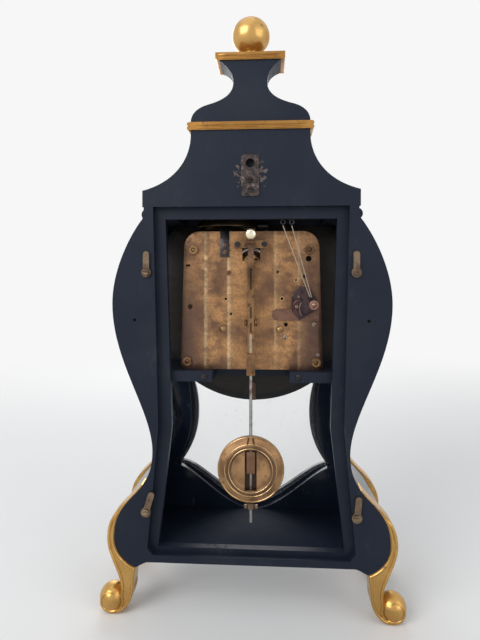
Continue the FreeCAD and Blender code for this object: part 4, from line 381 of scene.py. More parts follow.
@finish
def steel(look, base, shine):
    """Drawn steel with fine marks and a little tarnish."""
    marks = look.noise(500, 3, (1.0, 1.0, 0.12))
    tarnish = look.level(look.noise(120, 5), 0.52, 0.70)
    brown = tuple(value * share for value, share in zip(base, TARNISH_SHARES))
    rough = look.level(look.plus(marks, tarnish), 0.2, 1.5, *shine)
    look.paint(look.over(base, tarnish, 0.6, brown), rough, 0.95)
    look.bump(marks, 0.00003, 0.5)


@finish
def rod_steel(look, bottom, top):
    """The steel rod, with its brown brass block between two heights."""
    marks = look.noise(500, 3, (1.0, 1.0, 0.12))
    height = look.axis("Z")
    above = look.level(height, bottom - BLOCK_BLUR, bottom)
    below = look.level(height, top, top + BLOCK_BLUR, 1.0, 0.0)
    bare = look.tint(look.level(look.noise(150, 5), 0.45, 0.70), *ROD_TONES)
    brown = look.tint(look.noise(130, 5), *BLOCK_TONES)
    base = look.tint(look.times(above, below), bare, brown)
    look.paint(base, look.level(marks, 0.2, 0.8, 0.32, 0.52), 0.9)
    look.bump(marks, 0.00003, 0.5)


@finish
def rusty_iron(look):
    """Pitted iron with brown rust and a few rubbed bright spots."""
    cloud = look.noise(190, 6)
    pits = look.level(look.noise(520, 4), 0.45, 0.65)
    base = look.tint(look.level(cloud, 0.36, 0.62), *RUST_TONES)
    base = look.tint(look.level(cloud, 0.62, 0.72, 0.0, 0.7), base, RUBBED_IRON)
    look.paint(base, look.level(pits, 0.0, 1.0, 0.55, 0.9), 0.35)
    look.bump(look.plus(cloud, pits), 0.0003, 0.7)


@finish
def old_wood(look, dark, bright, middle, rim):
    """A round brown board with straight grain and dirt, black beyond its rim line."""
    grain = look.noise(40, 5, (1.0, 1.0, 9.0))
    dirt = look.level(look.noise(18, 5), 0.45, 0.75, 0.0, 0.6)
    base = look.tint(look.level(grain, 0.3, 0.7), dark, bright)
    base = look.tint(dirt, base, darker(dark, 0.4))
    edge = look.level(look.distance(middle), rim - RIM_BLUR, rim)
    base = look.tint(edge, base, BOARD_RIM)
    look.paint(base, look.level(grain, 0.2, 0.8, 0.55, 0.78))
    look.bump(grain, 0.00025, 0.5)


@finish
def clear_glass(look):
    """Old clear glass, very slightly wavy, with faint dust."""
    dust = look.level(look.noise(160, 5), 0.55, 0.80)
    look.paint(GLASS_TONE, look.level(dust, 0.0, 1.0, 0.02, 0.22))
    look.fill(look.surface, {"Alpha": look.level(dust, 0.0, 1.0, 0.07, 0.13)})
    look.bump(look.noise(14, 2), 0.0004, 0.25)


@finish
def enamel(look):
    """White fired enamel with a warm tone and hairline marks."""
    cloud = look.noise(30, 4)
    hair = look.level(look.noise(9, 8), 0.498, 0.502, 1.0, 0.0)
    base = look.over(look.tint(cloud, *ENAMEL_TONES), hair, 0.05, ENAMEL_HAIR)
    look.paint(base, look.level(cloud, 0.3, 0.7, 0.10, 0.22))
    look.bump(look.noise(26, 2), 0.0003, 0.2)


@finish
def twisted_cord(look):
    """Pale twisted cord."""
    twist = look.maths("SINE", look.times(look.axis("Z"), CORD_TWIST))
    fibre = look.noise(900, 3)
    look.paint(look.tint(fibre, *CORD_TONES), look.level(fibre, 0.2, 0.8, 0.70, 0.95))
    look.bump(look.plus(twist, fibre), 0.00015, 0.8)


@finish
def ink_and_slot_shade(look):
    """Dark fired paint of the dial figures; the same dark also paints shade into slots and holes.
    """
    cloud = look.noise(400, 3)
    look.paint(look.tint(cloud, *INK_AND_SHADE_TONES), look.level(cloud, 0.3, 0.7, 0.25, 0.42))


@finish
def painted_hole_shade(look):
    """Painted shade: the unlit inside of a small hole or slot."""
    base = look.tint(look.noise(400, 3), *HOLE_SHADE_TONES)
    look.paint(base, 0.9, specular=HOLE_SHADE_SPECULAR)


def middle_of(node):
    """The middle of a node's box."""
    low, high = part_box(node)
    return (low + high) / 2


def radius_of(node):
    """Half the width of a node's box."""
    low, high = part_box(node)
    return (high.x - low.x) / 2


bob_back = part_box("pendulum_bob")[1].y
bob_middle = middle_of("pendulum_bob")
bob_radius = radius_of("pendulum_bob")
board_radius = radius_of("dial_board")
dial_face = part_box("dial_plate")[0].y
dial_middle = middle_of("dial_plate")
board_middle = Vector((0.0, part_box("dial_board")[1].y, dial_middle.z))
plate_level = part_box("back_plate")[1].y

MATTE_BLACK = black_case("matte_black", (0.46, 0.68))
CHIPPED_BLACK = black_case("chipped_black", (0.46, 0.68), middle_of("hanger_plate"))
GLOSS_BLACK = black_case("gloss_black", (0.10, 0.28))
DEEP_BLACK = black_case("deep_black", (0.62, 0.80), specular=DEEP_SPECULAR)
GILT = gilding("gilding", (0.390, 0.208, 0.060), (0.700, 0.440, 0.155))
LEG_GILT = gilding("leg_gilding", (0.390, 0.205, 0.056), (0.720, 0.450, 0.150))
MOULDING_GILT = gilding("moulding_gilding", (0.260, 0.118, 0.028), (0.500, 0.262, 0.072))
PLATE = plate_brass("plate_brass")
BUTTON = aged_brass("button_brass", (0.105, 0.072, 0.048), (0.250, 0.180, 0.120), (0.34, 0.56))
WHEEL = aged_brass("wheel_brass", (0.200, 0.110, 0.048), (0.420, 0.265, 0.115), (0.30, 0.50), 0.4)
COCK = aged_brass("cock_brass", (0.095, 0.050, 0.028), (0.260, 0.145, 0.070), (0.38, 0.58), 0.6)
# Dark brass, also used as painted shade in the slots of the pendulum's rod
SHADE = aged_brass("dark_brass", (0.030, 0.018, 0.012), (0.085, 0.050, 0.030), (0.45, 0.65), 0.6)
STRIP = aged_brass("strip_brass", (0.088, 0.047, 0.036), (0.190, 0.105, 0.074), (0.34, 0.54))
RIDGE = aged_brass("ridge_brass", (0.300, 0.180, 0.085), (0.640, 0.430, 0.220), (0.22, 0.42))
WORN = aged_brass("worn_brass", (0.240, 0.180, 0.130), (0.420, 0.340, 0.260), (0.32, 0.52))
POLISHED = aged_brass("polished_brass", (0.62, 0.50, 0.32), (0.86, 0.76, 0.56), (0.10, 0.24), 0.2)
BELL = aged_brass("bell_metal", (0.042, 0.030, 0.018), (0.115, 0.082, 0.045), (0.30, 0.52))
LEVER = aged_brass("lever_steel", (0.026, 0.018, 0.021), (0.090, 0.055, 0.055), (0.34, 0.58))
RED = aged_brass("red_spring", (0.090, 0.036, 0.034), (0.190, 0.080, 0.070), (0.30, 0.50))
BOB = ring_brass("bob_brass", bob_middle, bob_radius, BOB_SLOT_HALF, bob_back - BOB_SLOT_STEP)
STEEL = steel("steel", (0.46, 0.45, 0.43), (0.24, 0.48))
DARK_STEEL = steel("dark_steel", (0.045, 0.041, 0.043), (0.36, 0.60))
BLUED = steel("blued_steel", (0.030, 0.040, 0.085), (0.18, 0.34))
COPPER = steel("copper_screw", (0.300, 0.175, 0.130), (0.28, 0.48))
ROD = rod_steel("rod_steel", BLOCK_BOTTOM, BLOCK_TOP)
IRON = rusty_iron("rusty_iron")
BOARD = old_wood("dial_board_wood", *BOARD_TONES, board_middle, board_radius - RIM_WIDTH)
GLASS = clear_glass("clear_glass")
ENAMEL = enamel("white_enamel")
CORD = twisted_cord("twisted_cord")
INK_AND_SLOT_SHADE = ink_and_slot_shade("dial_ink_and_slot_shade")
HOLE_SHADE = painted_hole_shade("painted_hole_shade")


def by_node(groups):
    """The value of each node, from groups of a value and its nodes."""
    return {node: value for value, group in groups for node in group}


FINISHES = by_node((
    (MATTE_BLACK, ("rear_frame", "dome", "cornice_board", "seat_board")),
    (CHIPPED_BLACK, ("bonnet",)),
    (DEEP_BLACK, ("base_board",)),
    (GLOSS_BLACK, ("front_frame", "left_side_panel", "right_side_panel", "front_door")),
    (BOARD, ("dial_board",)),
    (MOULDING_GILT, ("gilt_band", "pedestal_cap")),
    (GILT, ("finial_ball", "door_fittings")),
    (LEG_GILT, LEGS),
    (PLATE, ("back_plate", "front_plate")),
    (COCK, ("pillars", "pillar_nuts", "suspension_cock", "hook_rod", "crutch")),
    (POLISHED, ("suspension_knob",)),
    (STRIP, ("lever_cock", "dial_catch", "suspension_spring")),
    (BUTTON, (*BUTTONS, "door_hinges", "rating_nut", "button_screws")),
    (WHEEL, ("going_barrel", "strike_barrel", "centre_wheel", "third_wheel", "escape_wheel",
             "minute_wheel")),
    (BOB, ("pendulum_bob",)),
    (BELL, ("bell",)),
    (ROD, ("pendulum_rod",)),
    (STEEL, ("pallets",)),
    (DARK_STEEL, ("hammer", "cord_eyelets", "small_screws", "bell_stand")),
    (LEVER, ("repeat_lever",)),
    (BLUED, ("minute_hand", "hour_hand")),
    (COPPER, ("lever_screw",)),
    (IRON, ("hanger_plate",)),
    (GLASS, ("side_glass", "door_glass")),
    (ENAMEL, ("dial_plate",)),
    (CORD, ("repeat_cord",)),
))

# Softened edges in millimetres; pieces left out keep their plain edges
EDGES = by_node((
    (1.0, LEGS),
    (0.9, ("front_door",)),
    (0.8, ("bonnet", "dome")),
    (0.7, ("rear_frame", "front_frame")),
    (0.6, ("pedestal_cap", "seat_board", "door_fittings")),
    (0.5, ("left_side_panel", "right_side_panel", "cornice_board", *BUTTONS)),
    (0.4, ("pillar_nuts", "lever_screw")),
    (0.35, ("hook_rod",)),
    (0.3, ("gilt_band", "lever_cock", "repeat_lever", "suspension_cock", "pendulum_bob",
           "rating_nut", "hanger_plate")),
))


def dress(node, item):
    """Gives a node its finish, smooth curves and softened edges."""
    item.data.set_sharp_from_angle(angle=math.radians(CAD_CREASE))
    item.data.materials.clear()
    item.data.materials.append(FINISHES[node])
    for face in item.data.polygons:
        face.use_smooth = True
    weld = item.modifiers.new("weld", "WELD")
    weld.merge_threshold = WELD
    if node in EDGES:
        soft = item.modifiers.new("soft_edges", "BEVEL")
        soft.width = EDGES[node] * MM
        soft.segments = SOFT_STEPS
        soft.limit_method = "ANGLE"
        soft.angle_limit = math.radians(SOFT_CREASE)
    normals = item.modifiers.new("flat_faces", "WEIGHTED_NORMAL")
    normals.keep_sharp = True
    normals.weight = FACE_WEIGHT


for node, item in nodes.items():
    dress(node, item)


# Added pieces


def add_item(name, data):
    """A new object in the scene."""
    item = bpy.data.objects.new(name, data)
    bpy.context.scene.collection.objects.link(item)
    return item


def new_piece(name, build, material, body="case"):
    """A bmesh as a smooth piece that rides on a body."""
    bmesh.ops.remove_doubles(build, verts=build.verts, dist=MERGE)
    bmesh.ops.recalc_face_normals(build, faces=build.faces)
    mesh = bpy.data.meshes.new(name)
    build.to_mesh(mesh)
    build.free()
    for face in mesh.polygons:
        face.use_smooth = True
    mesh.set_sharp_from_angle(angle=math.radians(ADDED_CREASE))
    mesh.materials.append(material)
    item = add_item(name, mesh)
    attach(item, body)
    return item


def join_rows(build, rows):
    """Faces between rows of points that close on themselves; a row may be one point."""
    for low, high in zip(rows, rows[1:]):
        for step in range(len(low)):
            after = (step + 1) % len(low)
            ring = [low[step], low[after], high[after], high[step]]
            build.faces.new(list(dict.fromkeys(ring)))


def lathe(build, profile, centre, steps=TURN_STEPS):
    """Turns a profile of (radius, height) about the Y axis through a centre."""
    rows = []
    for radius, height in profile:
        middle = centre + BACK * height
        if radius == 0:
            rows.append([build.verts.new(middle)] * steps)
            continue
        turns = [2 * math.pi * step / steps for step in range(steps)]
        spokes = [Vector((math.cos(turn), 0, math.sin(turn))) * radius for turn in turns]
        rows.append([build.verts.new(middle + spoke) for spoke in spokes])
    join_rows(build, rows)


def stroke(build, first, last, wide, level):
    """A thin closed bar between two (x, z) points at a level of Y."""
    along = Vector((last[0] - first[0], 0, last[1] - first[1])).normalized()
    side = along.cross(BACK) * (wide / 2)
    ends = [Vector((x, level, z)) for x, z in (first, last)]
    corners = [ends[0] - side, ends[0] + side, ends[1] + side, ends[1] - side]
    low = [build.verts.new(corner - BACK * THIN) for corner in corners]
    high = [build.verts.new(corner + BACK * THIN) for corner in corners]
    build.faces.new(low)
    build.faces.new(high)
    join_rows(build, (low, high))


def tube(build, points, radius, last_radius=None):
    """A tube along points in a plane square to Y, tapered at both ends."""
    last_radius = radius if last_radius is None else last_radius
    rows = []
    for index, point in enumerate(points):
        before = points[max(index - 1, 0)]
        after = points[min(index + 1, len(points) - 1)]
        side = (after - before).normalized().cross(BACK)
        end_steps = min(index, len(points) - 1 - index)
        whole = radius + (last_radius - radius) * index / (len(points) - 1)
        thick = whole * min(1.0, (end_steps + 1) / TAPER_STEPS)
        turns = [2 * math.pi * step / TUBE_SIDES for step in range(TUBE_SIDES)]
        spokes = [(side * math.cos(turn) + BACK * math.sin(turn)) * thick for turn in turns]
        rows.append([build.verts.new(point + spoke) for spoke in spokes])
    join_rows(build, rows)
    build.faces.new(rows[0])
    build.faces.new(rows[-1])


def ring_ridge(build, centre, radius, thick):
    """A raised round ridge about the Y axis through a centre."""
    turns = [2 * math.pi * step / TUBE_SIDES for step in range(TUBE_SIDES + 1)]
    profile = [(radius + thick * math.cos(turn), thick * math.sin(turn)) for turn in turns]
    lathe(build, profile, centre, RING_STEPS)


# A screw head's outline across and up, then the half length, width and height of its slot, all as
# shares of the head's radius
HEAD_SHARES = ((0, 0.0), (1.0, 0.0), (1.0, 0.25), (0.84, 0.40), (0.30, 0.46), (0, 0.46))
HEAD_SLOT_REACH = 0.80
HEAD_SLOT_WIDTH = 0.26
HEAD_SLOT_RISE = 0.475
# Where a low ring is highest, as a share of the way to its outer edge, and how high
CREST_SHARE = 0.81
CREST_RISE = SKIN * 6


def screw(heads, slots, x, z, radius, level):
    """A low domed screw head, and painted shade in its slot at any turn."""
    profile = [(radius * wide, radius * rise) for wide, rise in HEAD_SHARES]
    lathe(heads, profile, Vector((x, level, z)), SCREW_STEPS)
    turn = random.uniform(0, math.pi)
    half = radius * HEAD_SLOT_REACH
    along, up = math.cos(turn) * half, math.sin(turn) * half
    stroke(slots, (x - along, z - up), (x + along, z + up), radius * HEAD_SLOT_WIDTH,
           level + radius * HEAD_SLOT_RISE)


def dark_disc(build, x, z, radius, level):
    """A small round hole, as a disc of painted shade just proud of a face."""
    profile = [(0, -THIN), (radius, -THIN), (radius, SKIN), (0, SKIN)]
    lathe(build, profile, Vector((x, level, z)), SCREW_STEPS)


def flat_ring(build, x, z, inner, outer, level):
    """A low ring on a face, highest near its outer edge."""
    crest = inner + (outer - inner) * CREST_SHARE
    profile = [(inner, -THIN), (inner, SKIN), (crest, CREST_RISE), (outer, SKIN), (outer, -THIN),
               (inner, -THIN)]
    lathe(build, profile, Vector((x, level, z)), LOW_RING_STEPS)


# The knob's outline, as shares of its radius and of its depth
KNOB_SHARES = ((0, 0.0), (0.60, 0.0), (0.62, 0.16), (0.90, 0.24), (1.0, 0.38), (0.97, 0.56),
               (0.84, 0.76), (0.60, 0.91), (0.30, 0.98), (0, 1.0))


def add_knob():
    """The polished suspension knob, a round lens on a collar."""
    low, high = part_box("suspension_knob")
    radius = radius_of("suspension_knob")
    deep = high.y - low.y
    centre = middle_of("suspension_knob")
    centre.y = low.y
    build = bmesh.new()
    lathe(build, [(radius * wide, deep * rise) for wide, rise in KNOB_SHARES], centre)
    knob = new_piece("turned_knob", build, POLISHED)
    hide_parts("suspension_knob")


# Marks on the back plate as x, z and radius in millimetres
SINKS = ((0.0, 320.0, 3.4), (23.5, 346.8, 2.9), (-56.0, 343.0, 2.7), (30.0, 288.0, 4.6),
         (-30.0, 288.0, 4.6))
SCREWS = ((-70.0, 261.0, 1.9), (-66.0, 293.0, 2.3), (-36.0, 279.5, 2.3))
HOLES = ((-60.4, 362.0, 3.0), (-36.5, 292.5, 2.0))
PIVOTS = ((-28.0, 348.0, 1.3), (-47.2, 339.4, 1.2), (27.0, 319.4, 1.4), (-32.4, 319.9, 1.6),
          (21.4, 303.5, 1.3))
# The slot at the plate's edge as its two ends in x, its height and its width, in millimetres
EDGE_SLOT = (65.0, 69.5, 355.0, 2.0)
# The inside of an oil sink, and the outside of a pivot's rim, as shares of the radius in the table
SINK_SHARE = 0.58
RIM_SHARE = 1.6


def add_plate_marks():
    """Oil sinks, pivot rims and bright screws on the back plate, with painted shade in holes and
    slots.
    """
    sinks = bmesh.new()
    for x, z, radius in SINKS:
        flat_ring(sinks, x * MM, z * MM, radius * SINK_SHARE * MM, radius * MM, plate_level)
    new_piece("oil_sinks", sinks, COCK)
    rims = bmesh.new()
    for x, z, radius in PIVOTS:
        flat_ring(rims, x * MM, z * MM, radius * MM, radius * RIM_SHARE * MM, plate_level)
    new_piece("pivot_rims", rims, RIDGE)
    heads = bmesh.new()
    slots = bmesh.new()
    for x, z, radius in SCREWS:
        screw(heads, slots, x * MM, z * MM, radius * MM, plate_level)
    new_piece("plate_screws", heads, WORN)
    # Painted shade: dark discs in the blind holes and pivot holes, and a dark bar in the edge slot
    for x, z, radius in HOLES + PIVOTS:
        dark_disc(slots, x * MM, z * MM, radius * MM, plate_level)
    left, right, height, wide = (value * MM for value in EDGE_SLOT)
    stroke(slots, (left, height), (right, height), wide, plate_level + SKIN)
    new_piece("plate_hole_shade", slots, HOLE_SHADE)


# The end of a piece where its rear face is measured
END_ZONE = 2 * MM
# Screws on the bell's strip: their rises above its foot, and their radius
STRIP_SCREW_RISES = (0.005, 0.0125)
STRIP_SCREW_RADIUS = 0.0026


def add_strip_screws():
    """Two screws at the foot of the bell's steel strip, with painted shade in their slots."""
    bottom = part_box("bell_stand")[0].z
    foot = [v.co for v in nodes["bell_stand"].data.vertices if v.co.z < bottom + END_ZONE]
    level = max(spot.y for spot in foot)
    middle = sum(spot.x for spot in foot) / len(foot)
    heads = bmesh.new()
    slots = bmesh.new()
    for rise in STRIP_SCREW_RISES:
        screw(heads, slots, middle, bottom + rise, STRIP_SCREW_RADIUS, level)
    new_piece("strip_screws", heads, STRIP)
    new_piece("strip_screw_slot_shade", slots, INK_AND_SLOT_SHADE)


# Slots of painted shade and a worn strip on the pendulum's flat rod, by their lower and upper
# heights
ROD_SLOTS = ((0.300, 0.312), (0.286, 0.2955), (0.330, 0.352))
ROD_SLOT_WIDTH = 0.0021
ROD_STRIP = (0.2645, 0.2835)
ROD_STRIP_WIDTH = 0.0026


def add_rod_slots():
    """Slots of painted shade and a bright worn strip along the flat upper rod of the pendulum."""
    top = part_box("hook_rod")[1].z
    flat = [v.co for v in nodes["hook_rod"].data.vertices if v.co.z > top - END_ZONE]
    level = max(spot.y for spot in flat) + SKIN
    dark = bmesh.new()
    for low, high in ROD_SLOTS:
        stroke(dark, (0, low), (0, high), ROD_SLOT_WIDTH, level)
    new_piece("rod_slot_shade", dark, SHADE, "pendulum")
    bright = bmesh.new()
    low, high = ROD_STRIP
    stroke(bright, (0, low), (0, high), ROD_STRIP_WIDTH, level)
    new_piece("rod_strip", bright, WORN, "pendulum")


# Details on the repeat lever in millimetres: (x, z) points, then x, z and radius
LEVER_SLOT = ((-45.0, 321.6), (-46.6, 325.4), (-48.8, 328.8), (-51.6, 331.4))
LEVER_SPRING = ((-51.0, 319.0), (-47.0, 317.4), (-44.6, 314.0), (-44.9, 309.6), (-47.4, 306.2),
                (-48.6, 302.6))
LEVER_WIRE = ((-52.5, 316.5), (-50.6, 311.5), (-51.0, 306.0), (-53.4, 301.6))
LEVER_HOLES = ((-53.6, 322.6, 1.5), (-57.6, 313.0, 1.3), (-56.4, 306.6, 0.9))
LEVER_SCREWS = ((-47.6, 311.8, 1.9), (-49.6, 322.2, 1.3))
SPRING_RADIUS = 0.0008
WIRE_RADIUS = 0.0004
SLOT_WIDTH = 0.0020
CURVE_STEPS = 40
# The part of the lever by its peg, which stands above the lever's face
LEVER_PEG_SIDE = 0.014


def smooth_points(spots, level):
    """Even points on a smooth curve through (x, z) spots in millimetres, at a level of Y."""
    corners = [Vector((x * MM, level, z * MM)) for x, z in spots]
    corners = [corners[0] * 2 - corners[1]] + corners + [corners[-1] * 2 - corners[-2]]
    points = []
    spans = len(spots) - 1
    for step in range(CURVE_STEPS):
        place = step / (CURVE_STEPS - 1) * spans
        index = min(int(place), spans - 1)
        share = place - index
        before, first, last, after = corners[index:index + 4]
        slope = (last - before) / 2
        next_slope = (after - first) / 2
        square, cube = share ** 2, share ** 3
        points.append(first * (2 * cube - 3 * square + 1) + slope * (cube - 2 * square + share)
                      + last * (3 * square - 2 * cube) + next_slope * (cube - square))
    return points


def add_lever_details():
    """Screws, a bent spring, a wire, and painted shade in a curved slot and holes, on the repeat
    lever.
    """
    spots = [v.co for v in nodes["repeat_lever"].data.vertices]
    peg = min(spot.x for spot in spots) + LEVER_PEG_SIDE
    level = max(spot.y for spot in spots if spot.x > peg)
    # Painted shade: the curved slot, the holes and the screw slots are dark bars and discs
    dark = bmesh.new()
    slot = smooth_points(LEVER_SLOT, level)
    for first, last in zip(slot, slot[1:]):
        stroke(dark, (first.x, first.z), (last.x, last.z), SLOT_WIDTH, level + SKIN)
    for x, z, radius in LEVER_HOLES:
        dark_disc(dark, x * MM, z * MM, radius * MM, level)
    heads = bmesh.new()
    for x, z, radius in LEVER_SCREWS:
        screw(heads, dark, x * MM, z * MM, radius * MM, level)
    new_piece("lever_slot_shade", dark, INK_AND_SLOT_SHADE, "repeat_lever")
    new_piece("lever_heads", heads, COPPER, "repeat_lever")
    spring = bmesh.new()
    tube(spring, smooth_points(LEVER_SPRING, level), SPRING_RADIUS)
    new_piece("lever_spring", spring, RED, "repeat_lever")
    wire = bmesh.new()
    tube(wire, smooth_points(LEVER_WIRE, level), WIRE_RADIUS)
    new_piece("lever_wire", wire, WORN, "repeat_lever")


# Ridges on the bob: radius as a share of the bob's, and drop below its crown
BOB_RIDGES = ((0.655, 0.0002), (0.775, 0.0011), (0.965, 0.0037))
BOB_RIDGE_RADIUS = 0.0006


def add_bob_ridges():
    """Turned ridges on the bob's rear face."""
    ridges = bmesh.new()
    for share, drop in BOB_RIDGES:
        centre = Vector((bob_middle.x, bob_back - drop, bob_middle.z))
        ring_ridge(ridges, centre, bob_radius * share, BOB_RIDGE_RADIUS)
    new_piece("bob_ridges", ridges, RIDGE, "pendulum")


# The forked clip on the bob: its ends as shares of the bob's radius, its drop below the crown at
# the first and how that lessens, its half width there and how that grows, and its prongs' radius
CLIP_SHARES = (0.965, 0.76)
CLIP_DROP = 0.0034
CLIP_SLOPE = 0.0145
CLIP_HALF = 0.0021
CLIP_SPREAD = 0.0075
CLIP_RADIUS = 0.0009
CLIP_STEPS = 14


def add_bob_clip():
    """Two dark prongs that grip the rod where it enters the bob."""
    first, last = CLIP_SHARES
    build = bmesh.new()
    for side in (-1, 1):
        points = []
        for step in range(CLIP_STEPS):
            down = (first - last) * step / (CLIP_STEPS - 1)
            points.append(Vector((bob_middle.x + side * (CLIP_HALF + CLIP_SPREAD * down),
                                  bob_back - CLIP_DROP + CLIP_SLOPE * down,
                                  bob_middle.z + bob_radius * (first - down))))
        tube(build, points, CLIP_RADIUS)
    new_piece("bob_clip", build, SHADE, "pendulum")


# The collar on the lever's screw, its ridge and its dome's outline, as shares of the screw's radius
COLLAR_SHARE = 0.80
COLLAR_RIDGE_SHARE = 0.10
DOME_SHARES = ((0, 0.0), (0.52, 0.0), (0.46, 0.10), (0.26, 0.20), (0, 0.23))


def add_screw_collar():
    """A turned collar and a dome on the lever's large screw."""
    radius = radius_of("lever_screw")
    centre = middle_of("lever_screw")
    centre.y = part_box("lever_screw")[1].y
    build = bmesh.new()
    ring_ridge(build, centre, radius * COLLAR_SHARE, radius * COLLAR_RIDGE_SHARE)
    lathe(build, [(radius * wide, radius * rise) for wide, rise in DOME_SHARES], centre)
    new_piece("screw_collar", build, COPPER)


# Beads on the gilt mouldings: height and radius as shares of the moulding's height, and how deep
# a bead sits as a share of its radius
BEADS = ((0.70, 0.25), (0.22, 0.17))
BEAD_SINK_SHARE = 0.45
BEAD_STEPS = 30


def add_beads():
    """Round beads along the rear and front of the gilt band and the pedestal's cap."""
    for name in ("gilt_band", "pedestal_cap"):
        low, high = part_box(name)
        wide = high.x - low.x
        tall = high.z - low.z
        build = bmesh.new()
        for rise, share in BEADS:
            radius = tall * share
            sink = radius * BEAD_SINK_SHARE
            height = low.z + tall * rise
            for level in (high.y - sink, low.y + sink):
                points = [Vector((low.x + wide * step / BEAD_STEPS, level, height))
                          for step in range(BEAD_STEPS + 1)]
                tube(build, points, radius)
        new_piece(name + "_beads", build, MOULDING_GILT)


# Peg holes on the back board, drawn as discs of painted shade
PEG_HALVES = (-0.1175, 0.1175)
PEG_HEIGHT = 0.2995
PEG_RADIUS = 0.0016


def add_peg_holes():
    """A small peg hole on each side of the back board, as a disc of painted shade."""
    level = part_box("rear_frame")[1].y
    build = bmesh.new()
    for x in PEG_HALVES:
        dark_disc(build, x, PEG_HEIGHT, PEG_RADIUS, level)
    new_piece("peg_hole_shade", build, HOLE_SHADE)


# Leg ridges: distance from the leg's edge, radius and spacing of points, and the share of that
# distance below which the leg is too narrow for a ridge
RIDGE_INSET = 0.0017
RIDGE_RADIUS = 0.0014
RIDGE_STEP = 0.0015
CLEAR_SHARE = 0.92
# How far a flat face may stray from its level, and the digits that tell its points apart
FLAT_LIMIT = 0.00001
SPOT_DIGITS = 6


def flat_loop(item, level):
    """The longest closed edge of an item's flat face at a level of Y, as (x, z) points in order."""
    uses = {}
    spots = [vertex.co for vertex in item.data.vertices]
    for face in item.data.polygons:
        corners = [spots[index] for index in face.vertices]
        if max(abs(corner.y - level) for corner in corners) > FLAT_LIMIT:
            continue
        keys = [(round(corner.x, SPOT_DIGITS), round(corner.z, SPOT_DIGITS)) for corner in corners]
        for first, last in zip(keys, keys[1:] + keys[:1]):
            pair = tuple(sorted((first, last)))
            uses[pair] = uses.get(pair, 0) + 1
    beside = {}
    for (first, last), times in uses.items():
        if times == 1 and first != last:
            beside.setdefault(first, []).append(last)
            beside.setdefault(last, []).append(first)
    unseen = set(beside)
    loops = []
    while unseen:
        loop = [min(unseen)]
        unseen.discard(loop[0])
        while True:
            ways = [spot for spot in beside[loop[-1]] if spot in unseen]
            if not ways:
                break
            loop.append(ways[0])
            unseen.discard(ways[0])
        loops.append(loop)
    return max(loops, key=len)


def even_points(loop, step, level):
    """Points at even steps round a closed loop of (x, z) points."""
    corners = [Vector((x, level, z)) for x, z in loop + loop[:1]]
    points = []
    left = 0.0
    for first, last in zip(corners, corners[1:]):
        long = (last - first).length
        while left < long:
            points.append(first.lerp(last, left / long))
            left += step
        left -= long
    return points


def inset_runs(points, inset):
    """Stretches of a loop moved inwards, without those where it is too narrow."""
    pairs = list(zip(points, points[1:] + points[:1]))
    area = sum(a.x * b.z - b.x * a.z for a, b in pairs)
    sign = 1 if area > 0 else -1
    runs = [[]]
    for index, point in enumerate(points):
        along = points[(index + 1) % len(points)] - points[index - 1]
        inward = Vector((-along.z, 0, along.x)).normalized() * sign
        moved = point + inward * inset
        if min((moved - other).length for other in points) > inset * CLEAR_SHARE:
            runs[-1].append(moved)
        elif runs[-1]:
            runs.append([])
    return [run for run in runs if len(run) > TAPER_STEPS * 2]


def add_leg_ridges():
    """Raised gilt ridges along both edges of each leg."""
    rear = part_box("rear_frame")[1].y
    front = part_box("front_frame")[0].y
    for name in LEGS:
        level = rear if name.startswith("rear") else front
        points = even_points(flat_loop(nodes[name], level), RIDGE_STEP, level)
        build = bmesh.new()
        for run in inset_runs(points, RIDGE_INSET):
            tube(build, run, RIDGE_RADIUS)
        new_piece(name + "_ridges", build, LEG_GILT)


# The spiral on each scroll foot: its first angle and its turn, then its first and last reach, its
# tube's first and last radius, and its least rise, as shares of the ball's radius
SPIRAL_START = -128
SPIRAL_TURN = 250
REACH_SHARES = (0.80, 0.62)
TUBE_SHARES = (0.150, 0.040)
RISE_SHARE = 0.60
SPIRAL_STEPS = 80
# How much of the ball is cut away under the foot
FOOT_FLAT = 0.0006


def add_scrolls():
    """A spiral ridge that carries each leg's sole round the face of its scroll foot."""
    first, last = REACH_SHARES
    for name in LEGS:
        out = 1 if name.startswith("rear") else -1
        low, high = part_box(name)
        radius = (high.y - low.y) / 2
        side = 1 if high.x > 0 else -1
        centre = Vector((side * (max(high.x, -low.x) - radius), (low.y + high.y) / 2,
                         radius - FOOT_FLAT))
        points = []
        for step in range(SPIRAL_STEPS):
            share = step / (SPIRAL_STEPS - 1)
            angle = math.radians(SPIRAL_START + SPIRAL_TURN * share)
            reach = radius * (first + (last - first) * share)
            rise = max(math.sqrt(radius ** 2 - reach ** 2), radius * RISE_SHARE)
            points.append(centre + Vector((side * math.cos(angle) * reach, out * rise,
                                           math.sin(angle) * reach)))
        build = bmesh.new()
        tube(build, points, *(radius * share for share in TUBE_SHARES))
        new_piece(name + "_spiral", build, LEG_GILT)


# The dial's figures, from its centre
FIGURES = ("XII", "I", "II", "III", "IIII", "V", "VI", "VII", "VIII", "IX", "X", "XI")
FIGURE_INNER = 0.0505
FIGURE_HEIGHT = 0.0135
FIGURE_WIDTHS = {"I": 0.0034, "V": 0.0076, "X": 0.0076}
THICK_STROKE = 0.0019
THIN_STROKE = 0.0007
# The strokes of each letter: lower and upper end as shares of its width, and thickness
LEFT, MIDDLE, RIGHT = 0.14, 0.5, 0.86
STROKES = {
    "I": ((MIDDLE, MIDDLE, THICK_STROKE),),
    "V": ((MIDDLE, LEFT, THICK_STROKE), (MIDDLE, RIGHT, THIN_STROKE)),
    "X": ((RIGHT, LEFT, THICK_STROKE), (LEFT, RIGHT, THIN_STROKE)),
}
MINUTES = 60
TRACK_RADII = (0.0672, 0.0712)
FACE_GAP = 0.00004


